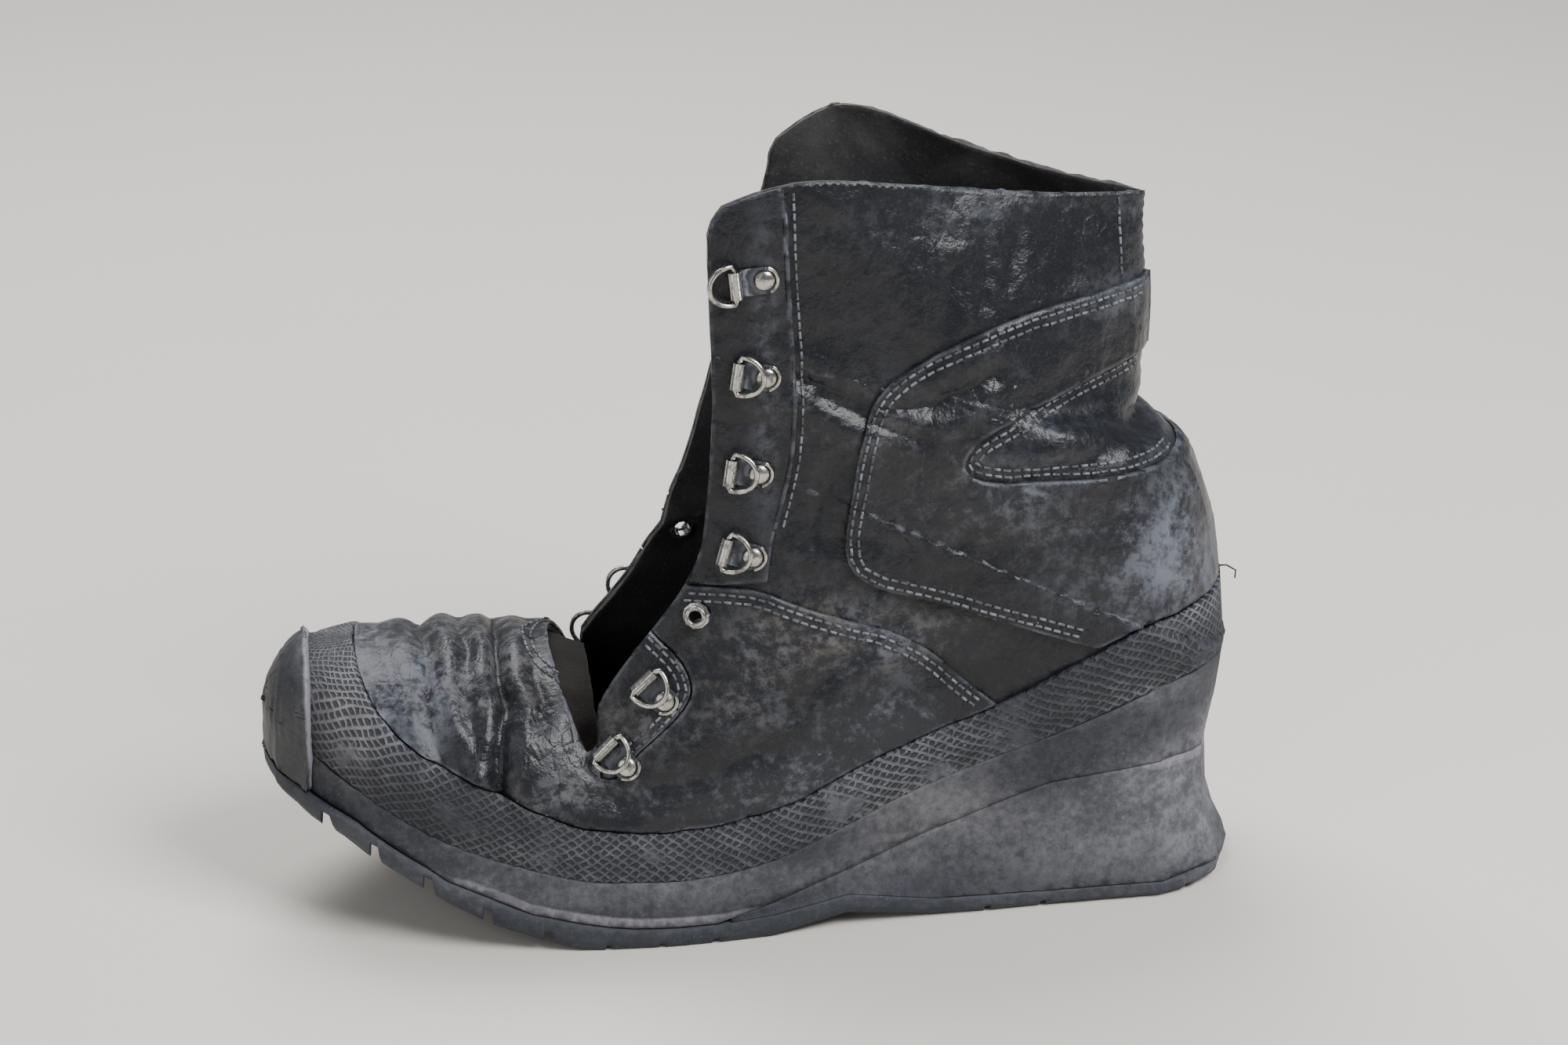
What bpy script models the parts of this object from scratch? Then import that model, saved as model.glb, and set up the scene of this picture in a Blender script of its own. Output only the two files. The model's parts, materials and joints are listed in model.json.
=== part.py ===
"""A worn leather lace-up work boot for the left foot, on a built-up wedge sole with a rubber rand.

Frame, in metres: +X to the toe, +Y to the outer side, +Z up. The origin is on the floor under the
middle of the heel seat. Stations are shares of the boot's length counted from the back of the heel,
heights are shares of the shaft's height, and half-breadths are shares of half the ball's breadth.
"""
from collections import namedtuple
from math import cos, pi, radians, sin

import bmesh
import bpy
from mathutils import Matrix, Vector
from mathutils.bvhtree import BVHTree

# Driving sizes
LENGTH = 0.300
SHAFT_HEIGHT = 0.240
BALL_BREADTH = 0.100
HEEL_SEAT = 0.040
LEATHER = 0.0020
OVERLAY = 0.0013
RAND = 0.0019
BUMPER = 0.0022
INSOLE = 0.0022
TONGUE = 0.0018
TONGUE_DROP = 0.0002
CLEAR = 0.0003
LAY_GAP = 0.0004
PANEL_GAP = 0.0006

# Lace hardware
CLIP_WIDTH = 0.0082
CLIP_SHEET = 0.0007
BAR_PLAY = 0.0003
WIRE = 0.0018
RING_HEIGHT = 0.0133
RING_DEPTH = 0.0080
RIVET_REACH = 0.0085
RIVET_RADIUS = 0.0031
RIVET_DOME = 0.0014
PLATE_RADIUS = 0.0041
SEAT_LIFT = 0.0004
SEAT_REACH = 0.0200
EYELET_BORE = 0.0050
EYELET_WALL = 0.0005
EYELET_FLANGE = 0.0011

# Mesh steps
WALL_ROWS = 9
FOOT_STRIP = 0.0025

# The last's outline at the feather edge: half-breadths of the outer and inner side
PlanRow = namedtuple("PlanRow", "station outer inner")
PLAN = [
    PlanRow(0.00, 0.74, 0.74),
    PlanRow(0.20, 0.77, 0.74),
    PlanRow(0.32, 0.82, 0.73),
    PlanRow(0.40, 0.88, 0.74),
    PlanRow(0.50, 0.95, 0.84),
    PlanRow(0.60, 0.99, 0.95),
    PlanRow(0.68, 0.98, 1.00),
    PlanRow(0.76, 0.93, 0.99),
    PlanRow(0.84, 0.86, 0.92),
    PlanRow(0.92, 0.80, 0.84),
    PlanRow(1.00, 0.76, 0.80),
]
HEEL_BACK = 0.007
HEEL_ROUND = 0.125
TOE_ROUND = 0.76
TOE_TIP = 0.983

# Heights of the sole's layers along the boot
Height = namedtuple("Height", "station height")
TREAD = [
    Height(0.00, 0.0), Height(0.31, 0.0), Height(0.35, 0.012), Height(0.395, 0.023),
    Height(0.435, 0.018), Height(0.48, 0.004), Height(0.51, 0.0), Height(0.68, 0.0),
    Height(0.72, 0.013), Height(0.76, 0.031), Height(0.80, 0.053), Height(0.84, 0.081),
    Height(0.88, 0.113), Height(0.93, 0.146), Height(0.97, 0.170), Height(1.00, 0.186),
]
OUTSOLE_TOP = [
    Height(0.00, 0.022), Height(0.30, 0.022), Height(0.35, 0.034), Height(0.40, 0.050),
    Height(0.44, 0.045), Height(0.48, 0.033), Height(0.56, 0.025), Height(0.64, 0.028),
    Height(0.72, 0.046), Height(0.80, 0.084), Height(0.87, 0.141), Height(0.93, 0.180),
    Height(0.97, 0.202), Height(1.00, 0.218),
]
WEDGE_TOP = [
    Height(0.00, 0.178), Height(0.06, 0.186), Height(0.13, 0.192), Height(0.20, 0.171),
    Height(0.26, 0.148), Height(0.34, 0.112), Height(0.40, 0.083), Height(0.47, 0.054),
    Height(0.53, 0.034), Height(0.57, 0.020), Height(1.00, 0.0),
]
WEDGE_FRONT = 0.535
FEATHER = [
    Height(0.00, 0.313), Height(0.07, 0.308), Height(0.15, 0.272), Height(0.23, 0.229),
    Height(0.32, 0.196), Height(0.40, 0.152), Height(0.48, 0.108), Height(0.57, 0.088),
    Height(0.67, 0.092), Height(0.76, 0.119), Height(0.83, 0.150), Height(0.88, 0.186),
    Height(0.92, 0.222), Height(0.96, 0.252), Height(1.00, 0.265),
]

# Flare of each layer's side beyond the last's outline, from its foot up, in metres
Flare = namedtuple("Flare", "level back heel ball toe")
OUTSOLE_FLARE = [
    Flare(0.0, 0.0020, 0.0018, 0.0034, 0.0030),
    Flare(0.35, 0.0054, 0.0034, 0.0045, 0.0046),
    Flare(1.0, 0.0060, 0.0034, 0.0046, 0.0050),
]
WEDGE_FLARE = [
    Flare(0.0, 0.0060, 0.0032, 0.0042, 0.0),
    Flare(0.22, 0.0020, 0.0016, 0.0041, 0.0),
    Flare(0.55, -0.0018, 0.0002, 0.0040, 0.0),
    Flare(1.0, -0.0028, -0.0006, 0.0040, 0.0),
]
MIDSOLE_FLARE = [
    Flare(0.0, -0.0026, -0.0004, 0.0040, 0.0022),
    Flare(0.5, 0.0004, 0.0010, 0.0030, 0.0022),
    Flare(1.0, 0.0022, 0.0022, 0.0022, 0.0022),
]
WAIST_FROM = 0.34
WAIST_TO = 0.54
CAP_FROM = 0.80
CAP_TO = 0.92

# Grooves across the tread: the deep ones part the toe lugs, the shallow ones are worn
Groove = namedtuple("Groove", "station depth width")
GROOVES = [
    Groove(0.060, 0.0012, 0.0024), Groove(0.205, 0.0012, 0.0024), Groove(0.265, 0.0012, 0.0024),
    Groove(0.550, 0.0010, 0.0024), Groove(0.605, 0.0010, 0.0024), Groove(0.660, 0.0012, 0.0024),
    Groove(0.722, 0.0026, 0.0030), Groove(0.780, 0.0040, 0.0032), Groove(0.835, 0.0044, 0.0032),
    Groove(0.883, 0.0044, 0.0032), Groove(0.928, 0.0044, 0.0032),
]
GROOVE_SLOPE = 0.0004

# The upper's sections. Each spoke runs from the feather edge, or the back seam above it, to the
# vamp's crest, the throat edge or the collar.
Spoke = namedtuple(
    "Spoke",
    "back rise front_x front_z inner_x inner_z full_out full_in end_out end_in round_at power crest_at crest",
)
SPOKES = [
    Spoke(0.983, 0.000, 0.982, 0.288, 0.982, 0.288, 0.76, 0.80, 0.00, 0.00, 0.20, 2.1, 0.10, 2.2),
    Spoke(0.972, 0.000, 0.965, 0.321, 0.965, 0.321, 0.77, 0.81, 0.00, 0.00, 0.20, 2.1, 0.10, 2.2),
    Spoke(0.943, 0.000, 0.943, 0.338, 0.943, 0.338, 0.79, 0.83, 0.00, 0.00, 0.20, 2.1, 0.12, 2.2),
    Spoke(0.893, 0.000, 0.897, 0.342, 0.897, 0.342, 0.82, 0.87, 0.00, 0.00, 0.20, 2.1, 0.14, 2.2),
    Spoke(0.817, 0.000, 0.823, 0.342, 0.823, 0.342, 0.89, 0.95, 0.00, 0.00, 0.20, 2.1, 0.15, 2.1),
    Spoke(0.737, 0.000, 0.743, 0.335, 0.743, 0.335, 0.95, 1.00, 0.00, 0.00, 0.20, 2.1, 0.15, 2.1),
    Spoke(0.690, 0.000, 0.706, 0.333, 0.706, 0.333, 0.98, 1.00, 0.00, 0.00, 0.20, 2.1, 0.15, 2.1),
    Spoke(0.659, 0.000, 0.698, 0.311, 0.698, 0.311, 0.99, 1.00, 0.46, 0.46, 0.20, 2.1, 0.15, 2.0),
    Spoke(0.633, 0.000, 0.689, 0.282, 0.689, 0.282, 0.99, 0.99, 0.66, 0.66, 0.20, 2.1, 0.15, 1.9),
    Spoke(0.610, 0.000, 0.675, 0.252, 0.675, 0.252, 0.99, 0.97, 0.78, 0.78, 0.20, 2.1, 0.15, 1.7),
    Spoke(0.587, 0.000, 0.662, 0.271, 0.662, 0.258, 0.98, 0.95, 0.76, 0.76, 0.20, 2.1, 0.18, 1.5),
    Spoke(0.550, 0.000, 0.662, 0.310, 0.662, 0.280, 0.97, 0.92, 0.73, 0.73, 0.20, 2.1, 0.20, 1.4),
    Spoke(0.490, 0.000, 0.623, 0.383, 0.623, 0.342, 0.94, 0.88, 0.70, 0.71, 0.22, 2.1, 0.22, 1.3),
    Spoke(0.413, 0.000, 0.583, 0.446, 0.585, 0.417, 0.91, 0.84, 0.68, 0.70, 0.25, 2.1, 0.25, 1.3),
    Spoke(0.320, 0.000, 0.558, 0.508, 0.557, 0.500, 0.87, 0.82, 0.68, 0.69, 0.25, 2.1, 0.28, 1.3),
    Spoke(0.200, 0.000, 0.552, 0.562, 0.540, 0.567, 0.83, 0.80, 0.68, 0.69, 0.25, 2.1, 0.30, 1.3),
    Spoke(0.087, 0.000, 0.548, 0.608, 0.528, 0.621, 0.80, 0.78, 0.68, 0.69, 0.25, 2.1, 0.32, 1.3),
    Spoke(0.030, 0.000, 0.547, 0.631, 0.522, 0.652, 0.79, 0.78, 0.68, 0.69, 0.25, 2.1, 0.34, 1.3),
    Spoke(0.010, 0.000, 0.546, 0.645, 0.518, 0.669, 0.79, 0.78, 0.68, 0.69, 0.25, 2.1, 0.34, 1.3),
    Spoke(0.007, 0.000, 0.546, 0.654, 0.516, 0.679, 0.78, 0.78, 0.68, 0.69, 0.25, 2.1, 0.35, 1.3),
    Spoke(0.012, 0.092, 0.545, 0.679, 0.509, 0.708, 0.78, 0.77, 0.68, 0.69, 0.26, 2.1, 0.36, 1.3),
    Spoke(0.023, 0.175, 0.544, 0.708, 0.503, 0.738, 0.77, 0.76, 0.68, 0.69, 0.28, 2.0, 0.38, 1.3),
    Spoke(0.045, 0.258, 0.545, 0.738, 0.495, 0.771, 0.75, 0.75, 0.68, 0.69, 0.32, 1.9, 0.40, 1.3),
    Spoke(0.077, 0.302, 0.545, 0.767, 0.488, 0.800, 0.73, 0.73, 0.68, 0.69, 0.38, 1.8, 0.45, 1.3),
    Spoke(0.098, 0.329, 0.546, 0.790, 0.483, 0.825, 0.72, 0.72, 0.68, 0.69, 0.44, 1.7, 0.50, 1.3),
    Spoke(0.094, 0.404, 0.547, 0.833, 0.473, 0.862, 0.71, 0.71, 0.68, 0.70, 0.52, 1.6, 0.60, 1.3),
    Spoke(0.093, 0.488, 0.548, 0.879, 0.465, 0.900, 0.70, 0.72, 0.68, 0.71, 0.62, 1.45, 0.66, 1.3),
    Spoke(0.096, 0.558, 0.547, 0.917, 0.460, 0.925, 0.70, 0.74, 0.68, 0.73, 0.72, 1.3, 0.74, 1.3),
    Spoke(0.097, 0.613, 0.533, 0.952, 0.452, 0.946, 0.70, 0.76, 0.68, 0.75, 0.80, 1.15, 0.80, 1.3),
]
THROAT_SPOKE = 6
CAP_SPOKE = 2
HEEL_SPOKE = 19

# The collar's rise above a straight line from the back seam to each front corner
Collar = namedtuple("Collar", "along outer inner")
COLLAR = [
    Collar(0.00, 0.000, 0.000), Collar(0.20, 0.006, 0.003), Collar(0.40, 0.019, 0.015),
    Collar(0.60, 0.031, 0.034), Collar(0.75, 0.038, 0.052), Collar(0.87, 0.034, 0.048),
    Collar(0.95, 0.018, 0.024), Collar(1.00, 0.000, 0.000),
]
COLLAR_FADE = 4

# Side-view outlines of the pieces laid over the upper, as (station, height)
RAND_LINE = [
    (-0.07, 0.408), (0.03, 0.406), (0.093, 0.396), (0.157, 0.358), (0.260, 0.292), (0.317, 0.271),
    (0.400, 0.225), (0.480, 0.175), (0.577, 0.154), (0.670, 0.162), (0.717, 0.183), (0.763, 0.212),
    (0.832, 0.251), (0.872, 0.288), (0.900, 0.330), (0.908, 0.375), (0.908, 0.46),
]
COUNTER = [
    (-0.07, 0.806), (0.07, 0.804), (0.17, 0.800), (0.243, 0.792), (0.320, 0.765), (0.373, 0.727),
    (0.397, 0.680), (0.410, 0.592), (0.420, 0.508), (0.402, 0.466), (0.317, 0.433), (0.240, 0.398),
    (0.165, 0.366), (0.157, 0.363), (0.093, 0.401), (0.03, 0.411), (-0.07, 0.413), (-0.07, 0.585),
    (0.046, 0.585), (0.20, 0.588), (0.280, 0.590), (0.304, 0.615), (0.280, 0.652), (0.20, 0.692),
    (0.133, 0.706), (0.083, 0.712), (-0.07, 0.714),
]
WING_TOP = [
    (0.262, 0.296), (0.290, 0.325), (0.327, 0.370), (0.362, 0.398), (0.412, 0.421), (0.455, 0.438),
    (0.500, 0.462), (0.540, 0.466), (0.600, 0.466),
]
NOTCH = [
    (0.640, 0.466), (0.612, 0.412), (0.582, 0.378), (0.570, 0.352), (0.569, 0.325), (0.597, 0.284),
    (0.632, 0.248), (0.647, 0.228),
]
FLAP_FOOT = [(0.663, 0.226), (0.667, 0.262), (0.670, 0.340), (0.670, 0.460), (0.908, 0.460)]
EYESTAY_BACK = [(0.474, 1.05), (0.472, 0.870), (0.465, 0.740), (0.467, 0.645), (0.474, 0.595), (0.487, 0.535)]
EYESTAY_FOOT = [(0.494, 0.474), (0.540, 0.470), (0.640, 0.470), (0.640, 1.05)]
EYESTAY_BACK_IN = [(0.385, 1.05), (0.390, 0.900), (0.410, 0.790), (0.447, 0.655), (0.464, 0.590), (0.487, 0.510)]

# Lace places from the collar down: clip positions in side view, the lean of the hinge axis, and the
# D-ring's angle above the leather, where about 15 lies back and 165 lies forward
Lace = namedtuple("Lace", "station height lean ring")
LACES_OUTER = [
    Lace(0.522, 0.860, -6, 165), Lace(0.520, 0.745, 8, 15), Lace(0.527, 0.620, 8, 15),
    Lace(0.533, 0.516, 15, 15), Lace(0.615, 0.346, 46, 15), Lace(0.654, 0.262, 44, 15),
]
LACES_INNER = [
    Lace(0.444, 0.850, 14, 15), Lace(0.466, 0.742, 16, 15), Lace(0.494, 0.625, 18, 15),
    Lace(0.522, 0.520, 22, 15), Lace(0.606, 0.322, 46, 165), Lace(0.645, 0.256, 44, 165),
]
EYELET_OUTER = (0.562, 0.430)
EYELET_INNER = (0.556, 0.424)

# Colours as linear red, green and blue, with roughness and metallic
LEATHER_BLACK = ((0.030, 0.033, 0.040), 0.55, 0.0)
LEATHER_PANEL = ((0.034, 0.038, 0.047), 0.50, 0.0)
SUEDE_BROWN = ((0.045, 0.038, 0.032), 0.85, 0.0)
RUBBER_RAND = ((0.060, 0.066, 0.078), 0.80, 0.0)
RUBBER_CAP = ((0.050, 0.053, 0.062), 0.60, 0.0)
RUBBER_SOLE = ((0.070, 0.075, 0.088), 0.85, 0.0)
RUBBER_TREAD = ((0.085, 0.098, 0.120), 0.75, 0.0)
BOARD = ((0.060, 0.050, 0.040), 0.90, 0.0)
NICKEL = ((0.48, 0.47, 0.44), 0.35, 1.0)


def clear_scene():
    for obj in list(bpy.data.objects):
        bpy.data.objects.remove(obj, do_unlink=True)


def collection(name):
    found = bpy.data.collections.new(name)
    bpy.context.scene.collection.children.link(found)
    return found


def material(name, finish):
    colour, roughness, metallic = finish
    made = bpy.data.materials.new(name)
    made.use_nodes = True
    shader = made.node_tree.nodes["Principled BSDF"]
    shader.inputs["Base Color"].default_value = (*colour, 1.0)
    shader.inputs["Roughness"].default_value = roughness
    shader.inputs["Metallic"].default_value = metallic
    return made


def x_at(station):
    return station * LENGTH - HEEL_SEAT


def station_of(x):
    return (x + HEEL_SEAT) / LENGTH


def along_table(rows, station, column):
    """A table's column at a station, eased between its rows."""
    first = rows[0]
    if station <= first[0]:
        return getattr(first, column)
    for low, high in zip(rows, rows[1:]):
        if station <= high[0]:
            share = (station - low[0]) / (high[0] - low[0])
            share = share * share * (3 - 2 * share) * 0.35 + share * 0.65
            return getattr(low, column) + (getattr(high, column) - getattr(low, column)) * share
    return getattr(rows[-1], column)


def height_at(rows, station):
    return along_table(rows, station, "height") * SHAFT_HEIGHT


def sole_top(station):
    """Top of what the midsole stands on: the outsole or the wedge."""
    return max(height_at(OUTSOLE_TOP, station), height_at(WEDGE_TOP, station))


def rounding(share, power):
    """Height of a superelliptic corner, 0 at share 0 and 1 from share 1 on."""
    share = min(max(share, 0.0), 1.0)
    return (1 - (1 - share) ** power) ** (1 / power)


def toe_closing(station):
    return rounding((TOE_TIP - station) / (TOE_TIP - TOE_ROUND), 2.0)


def half_breadth(station, side):
    """The last's half-breadth at the feather edge."""
    column = "outer" if side > 0 else "inner"
    heel = rounding((station - HEEL_BACK) / (HEEL_ROUND - HEEL_BACK), 2.2)
    breadth = along_table(PLAN, station, column) * BALL_BREADTH / 2
    return breadth * heel * toe_closing(station)


def soften(points, rounds=2):
    """Cut the corners of an open control polygon, keeping its ends."""
    for _ in range(rounds):
        cut = [points[0]]
        for (ax, az), (bx, bz) in zip(points, points[1:]):
            cut.append((ax * 0.75 + bx * 0.25, az * 0.75 + bz * 0.25))
            cut.append((ax * 0.25 + bx * 0.75, az * 0.25 + bz * 0.75))
        cut.append(points[-1])
        points = cut
    return points


def wall_share(even, index):
    """Rows bunch at both ends of the vamp's sections and at the back seam of the shaft's."""
    lean = (index - THROAT_SPOKE) / (HEEL_SPOKE - THROAT_SPOKE)
    lean = min(max(lean, 0.0), 1.0)
    vamp = 0.5 * even + 0.5 * (1 - cos(pi * even)) / 2
    fold = max(index - HEEL_SPOKE, 0) / (len(SPOKES) - 1 - HEEL_SPOKE)
    return vamp * (1 - lean) + even ** (1.8 - 0.5 * fold) * lean


def spoke_point(index, row, side):
    """A point of the upper's outer face, a share of the way along a spoke above its strip at the foot."""
    spoke = SPOKES[index]
    front_x = spoke.front_x if side > 0 else spoke.inner_x
    front_z = (spoke.front_z if side > 0 else spoke.inner_z) * SHAFT_HEIGHT
    foot = 0.0
    foot_z = height_at(FEATHER, spoke.back) + CLEAR + spoke.rise * SHAFT_HEIGHT
    if index <= HEEL_SPOKE:
        foot = half_breadth(spoke.back, side)
        foot_z += FOOT_STRIP if row else 0.0
    share = wall_share(max(row - 1, 0) / (WALL_ROWS - 1), index)
    x = spoke.back + (front_x - spoke.back) * share
    z = foot_z + (front_z - foot_z) * share
    fade = len(SPOKES) - 1 - index
    if fade < COLLAR_FADE:
        lift = along_table(COLLAR, share, "outer" if side > 0 else "inner") * SHAFT_HEIGHT
        z += lift * (1 - fade / COLLAR_FADE) ** 1.5
    full = (spoke.full_out if side > 0 else spoke.full_in) * BALL_BREADTH / 2 * toe_closing(spoke.back)
    end = (spoke.end_out if side > 0 else spoke.end_in) * BALL_BREADTH / 2
    if index <= THROAT_SPOKE:
        end = 0.0
    side_y = foot + (full - foot) * rounding(share / spoke.round_at, spoke.power)
    cut = min(end / full, 0.999) if full > 0 else 0.0
    reach = 1 - (1 - cut ** spoke.crest) ** (1 / spoke.crest)
    used = 1 - reach * (1 - spoke.crest_at)
    y = side_y * rounding((1 - used * share) / (1 - spoke.crest_at), spoke.crest)
    return Vector((x_at(x), side * y, z))


def upper_surface(first=0, last=None, sides=(1, -1), apron=False, from_row=0):
    """The upper's outer face as an open mesh, between two spokes; an apron hangs below the feather edge."""
    last = len(SPOKES) - 1 if last is None else last
    mesh = bmesh.new()
    for side in sides:
        grid = []
        for index in range(first, last + 1):
            line = [spoke_point(index, row, side) for row in range(from_row, WALL_ROWS + 1)]
            if apron:
                foot = line[0]
                line.insert(0, Vector((foot.x, foot.y, height_at(OUTSOLE_TOP, SPOKES[index].back) + CLEAR)))
            grid.append([mesh.verts.new(point) for point in line])
        for low, high in zip(grid, grid[1:]):
            for step in range(len(low) - 1):
                face = [low[step], high[step], high[step + 1], low[step + 1]]
                mesh.faces.new(face if side > 0 else [face[0], face[3], face[2], face[1]])
    bmesh.ops.remove_doubles(mesh, verts=mesh.verts, dist=CLEAR / 10)
    bmesh.ops.triangulate(mesh, faces=mesh.faces, quad_method="FIXED")
    on_middle = [face for face in mesh.faces if all(abs(vert.co.y) < CLEAR / 10 for vert in face.verts)]
    bmesh.ops.delete(mesh, geom=on_middle, context="FACES_ONLY")
    bmesh.ops.delete(mesh, geom=[edge for edge in mesh.edges if edge.is_wire], context="EDGES")
    mesh.normal_update()
    return mesh


def place_key(point):
    return tuple(round(value * 1e7) for value in point)


def outward_field():
    """Directions out of the upper at its grid's points, evened over their neighbours."""
    mesh = upper_surface()
    field = {vert: vert.normal.copy() for vert in mesh.verts}
    for _ in range(3):
        evened = {}
        for vert in mesh.verts:
            total = sum((field[edge.other_vert(vert)] for edge in vert.link_edges), field[vert] * 2)
            if abs(vert.co.y) < CLEAR / 10:
                total.y = 0.0
            foot = height_at(FEATHER, station_of(vert.co.x)) + CLEAR
            if abs(vert.co.z - foot) < CLEAR / 10:
                total.z = 0.0
            evened[vert] = total.normalized()
        field = evened
    return {place_key(vert.co): normal for vert, normal in field.items()}


def skin(surface, field, start, thickness):
    """A closed skin over an open surface, between two distances out of it."""
    surface.normal_update()
    mesh = bmesh.new()
    under, over = {}, {}
    for vert in surface.verts:
        out = vert.normal.copy()
        if abs(vert.co.y) < CLEAR / 10:
            out.y = 0.0
        out = field.get(place_key(vert.co), out.normalized())
        under[vert] = mesh.verts.new(vert.co + out * start)
        over[vert] = mesh.verts.new(vert.co + out * (start + thickness))
    for face in surface.faces:
        mesh.faces.new([over[vert] for vert in face.verts])
        mesh.faces.new([under[vert] for vert in reversed(face.verts)])
    for edge in surface.edges:
        if edge.is_boundary:
            first, second = edge.verts
            mesh.faces.new([over[first], under[first], under[second], over[second]])
    surface.free()
    bmesh.ops.recalc_face_normals(mesh, faces=mesh.faces)
    return mesh


def add_object(name, mesh, group, finish=None):
    """Put a bmesh or a mesh into the scene as a named object."""
    if isinstance(mesh, bmesh.types.BMesh):
        data = bpy.data.meshes.new(name)
        mesh.to_mesh(data)
        mesh.free()
    else:
        data = mesh
    obj = bpy.data.objects.new(name, data)
    group.objects.link(obj)
    if finish is not None:
        data.materials.clear()
        data.materials.append(finish)
    return obj


def hide_cutter(obj):
    obj.hide_render = True
    obj.display_type = "WIRE"


def side_prism(name, outline, cutters, low=-0.12, high=0.12):
    """A cutter with a side-view outline, square across the boot."""
    mesh = bmesh.new()
    near = [mesh.verts.new((x_at(x), low, z * SHAFT_HEIGHT)) for x, z in outline]
    face = mesh.faces.new(near)
    made = bmesh.ops.extrude_face_region(mesh, geom=[face])
    moved = [item for item in made["geom"] if isinstance(item, bmesh.types.BMVert)]
    bmesh.ops.translate(mesh, verts=moved, vec=(0, high - low, 0))
    bmesh.ops.recalc_face_normals(mesh, faces=mesh.faces)
    obj = add_object(name, mesh, cutters)
    hide_cutter(obj)
    return obj


def boolean(obj, cutter, operation):
    step = obj.modifiers.new("Cut by " + cutter.name, "BOOLEAN")
    step.operation = operation
    step.object = cutter
    step.solver = "EXACT"
    return step


def applied(obj):
    """Bake an object's modifiers into its mesh."""
    graph = bpy.context.evaluated_depsgraph_get()
    mesh = bpy.data.meshes.new_from_object(obj.evaluated_get(graph))
    obj.modifiers.clear()
    obj.data = mesh
    return obj


def shade(obj, angle=35):
    obj.data.shade_smooth()
    obj.data.set_sharp_from_angle(angle=radians(angle))


def overlay(name, outline, group, cutters, field, finish, sides=(1, -1), thickness=OVERLAY, spokes=(0, None)):
    """A panel cut from a skin that follows the upper just outside it."""
    surface = upper_surface(*spokes, sides=sides)
    panel = add_object(name, skin(surface, field, LAY_GAP, thickness), group, finish)
    low = -0.12 if -1 in sides else 0.0
    high = 0.12 if 1 in sides else 0.0
    prism = side_prism(name + "_outline", outline, cutters, low, high)
    boolean(panel, prism, "INTERSECT")
    applied(panel)
    weld = bmesh.new()
    weld.from_mesh(panel.data)
    bmesh.ops.remove_doubles(weld, verts=weld.verts, dist=CLEAR / 20)
    weld.to_mesh(panel.data)
    weld.free()
    shade(panel)
    return panel


def plan_stations(extra=()):
    """Stations of the sole's rings: those where the upper's spokes stand on the feather edge."""
    return sorted({spoke.back for spoke in SPOKES[:HEEL_SPOKE + 1]} | set(extra))


def plan_point(station, side, flare):
    """A point beside the last's outline, at the flare given for that part of the boot."""
    step = 0.001
    here = Vector((x_at(station), side * half_breadth(station, side)))
    if station <= HEEL_BACK:
        normal = Vector((-1.0, 0.0))
    elif station >= TOE_TIP:
        normal = Vector((1.0, 0.0))
    else:
        before = max(station - step, HEEL_BACK)
        after = min(station + step, TOE_TIP)
        run = Vector((x_at(after) - x_at(before), half_breadth(after, side) - half_breadth(before, side)))
        normal = Vector((-run.y, run.x * side)).normalized()
    waist = min(max((station - WAIST_FROM) / (WAIST_TO - WAIST_FROM), 0.0), 1.0)
    cap = min(max((station - CAP_FROM) / (CAP_TO - CAP_FROM), 0.0), 1.0)
    beside = flare.heel + (flare.ball - flare.heel) * waist
    beside += (flare.toe - beside) * cap
    backward = max(-normal.x, 0.0) ** 2
    reach = beside + (flare.back - beside) * backward
    return here + normal * reach


def flare_at(flares, level):
    low, high = flares[0], flares[-1]
    for first, second in zip(flares, flares[1:]):
        if first.level <= level <= second.level:
            low, high = first, second
            break
    share = (level - low.level) / (high.level - low.level)
    return Flare(*[a + (b - a) * share for a, b in zip(low, high)])


def sole_layer(name, foot, top, flares, group, finish, stations, levels):
    """A layer of the sole: rings that follow the outline, with a flat-laid top and bottom."""
    mesh = bmesh.new()
    rings = {}
    for side in (1, -1):
        for index, station in enumerate(stations):
            low, high = foot(station), top(station)
            for row, level in enumerate(levels):
                point = plan_point(station, side, flare_at(flares, level))
                z = low + (high - low) * level
                rings[side, index, row] = mesh.verts.new((point.x, point.y, z))
    rows = len(levels) - 1
    for index in range(len(stations) - 1):
        for side in (1, -1):
            for row in range(rows):
                face = [rings[side, index, row], rings[side, index, row + 1],
                        rings[side, index + 1, row + 1], rings[side, index + 1, row]]
                mesh.faces.new(face)
        for row in (0, rows):
            mesh.faces.new([rings[1, index, row], rings[1, index + 1, row],
                            rings[-1, index + 1, row], rings[-1, index, row]])
    for index in (0, len(stations) - 1):
        outer, inner = rings[1, index, 0], rings[-1, index, 0]
        if (outer.co - inner.co).length > CLEAR:
            for row in range(rows):
                mesh.faces.new([rings[1, index, row], rings[1, index, row + 1],
                                rings[-1, index, row + 1], rings[-1, index, row]])
    bmesh.ops.remove_doubles(mesh, verts=mesh.verts, dist=CLEAR / 10)
    bmesh.ops.dissolve_degenerate(mesh, dist=CLEAR / 10, edges=mesh.edges)
    bmesh.ops.recalc_face_normals(mesh, faces=mesh.faces)
    obj = add_object(name, mesh, group, finish)
    shade(obj)
    return obj


def groove_stations():
    edges = []
    for groove in GROOVES:
        half = groove.width / 2 / LENGTH
        slope = GROOVE_SLOPE / LENGTH
        edges += [groove.station - half, groove.station - half + slope]
        edges += [groove.station + half - slope, groove.station + half]
    return edges


def level_on_rings(rows, station):
    """A table's height along the straight runs between the sole's rings."""
    rings = plan_stations()
    for low, high in zip(rings, rings[1:]):
        if low <= station <= high:
            share = (station - low) / (high - low)
            return height_at(rows, low) * (1 - share) + height_at(rows, high) * share
    return height_at(rows, station)


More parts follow.
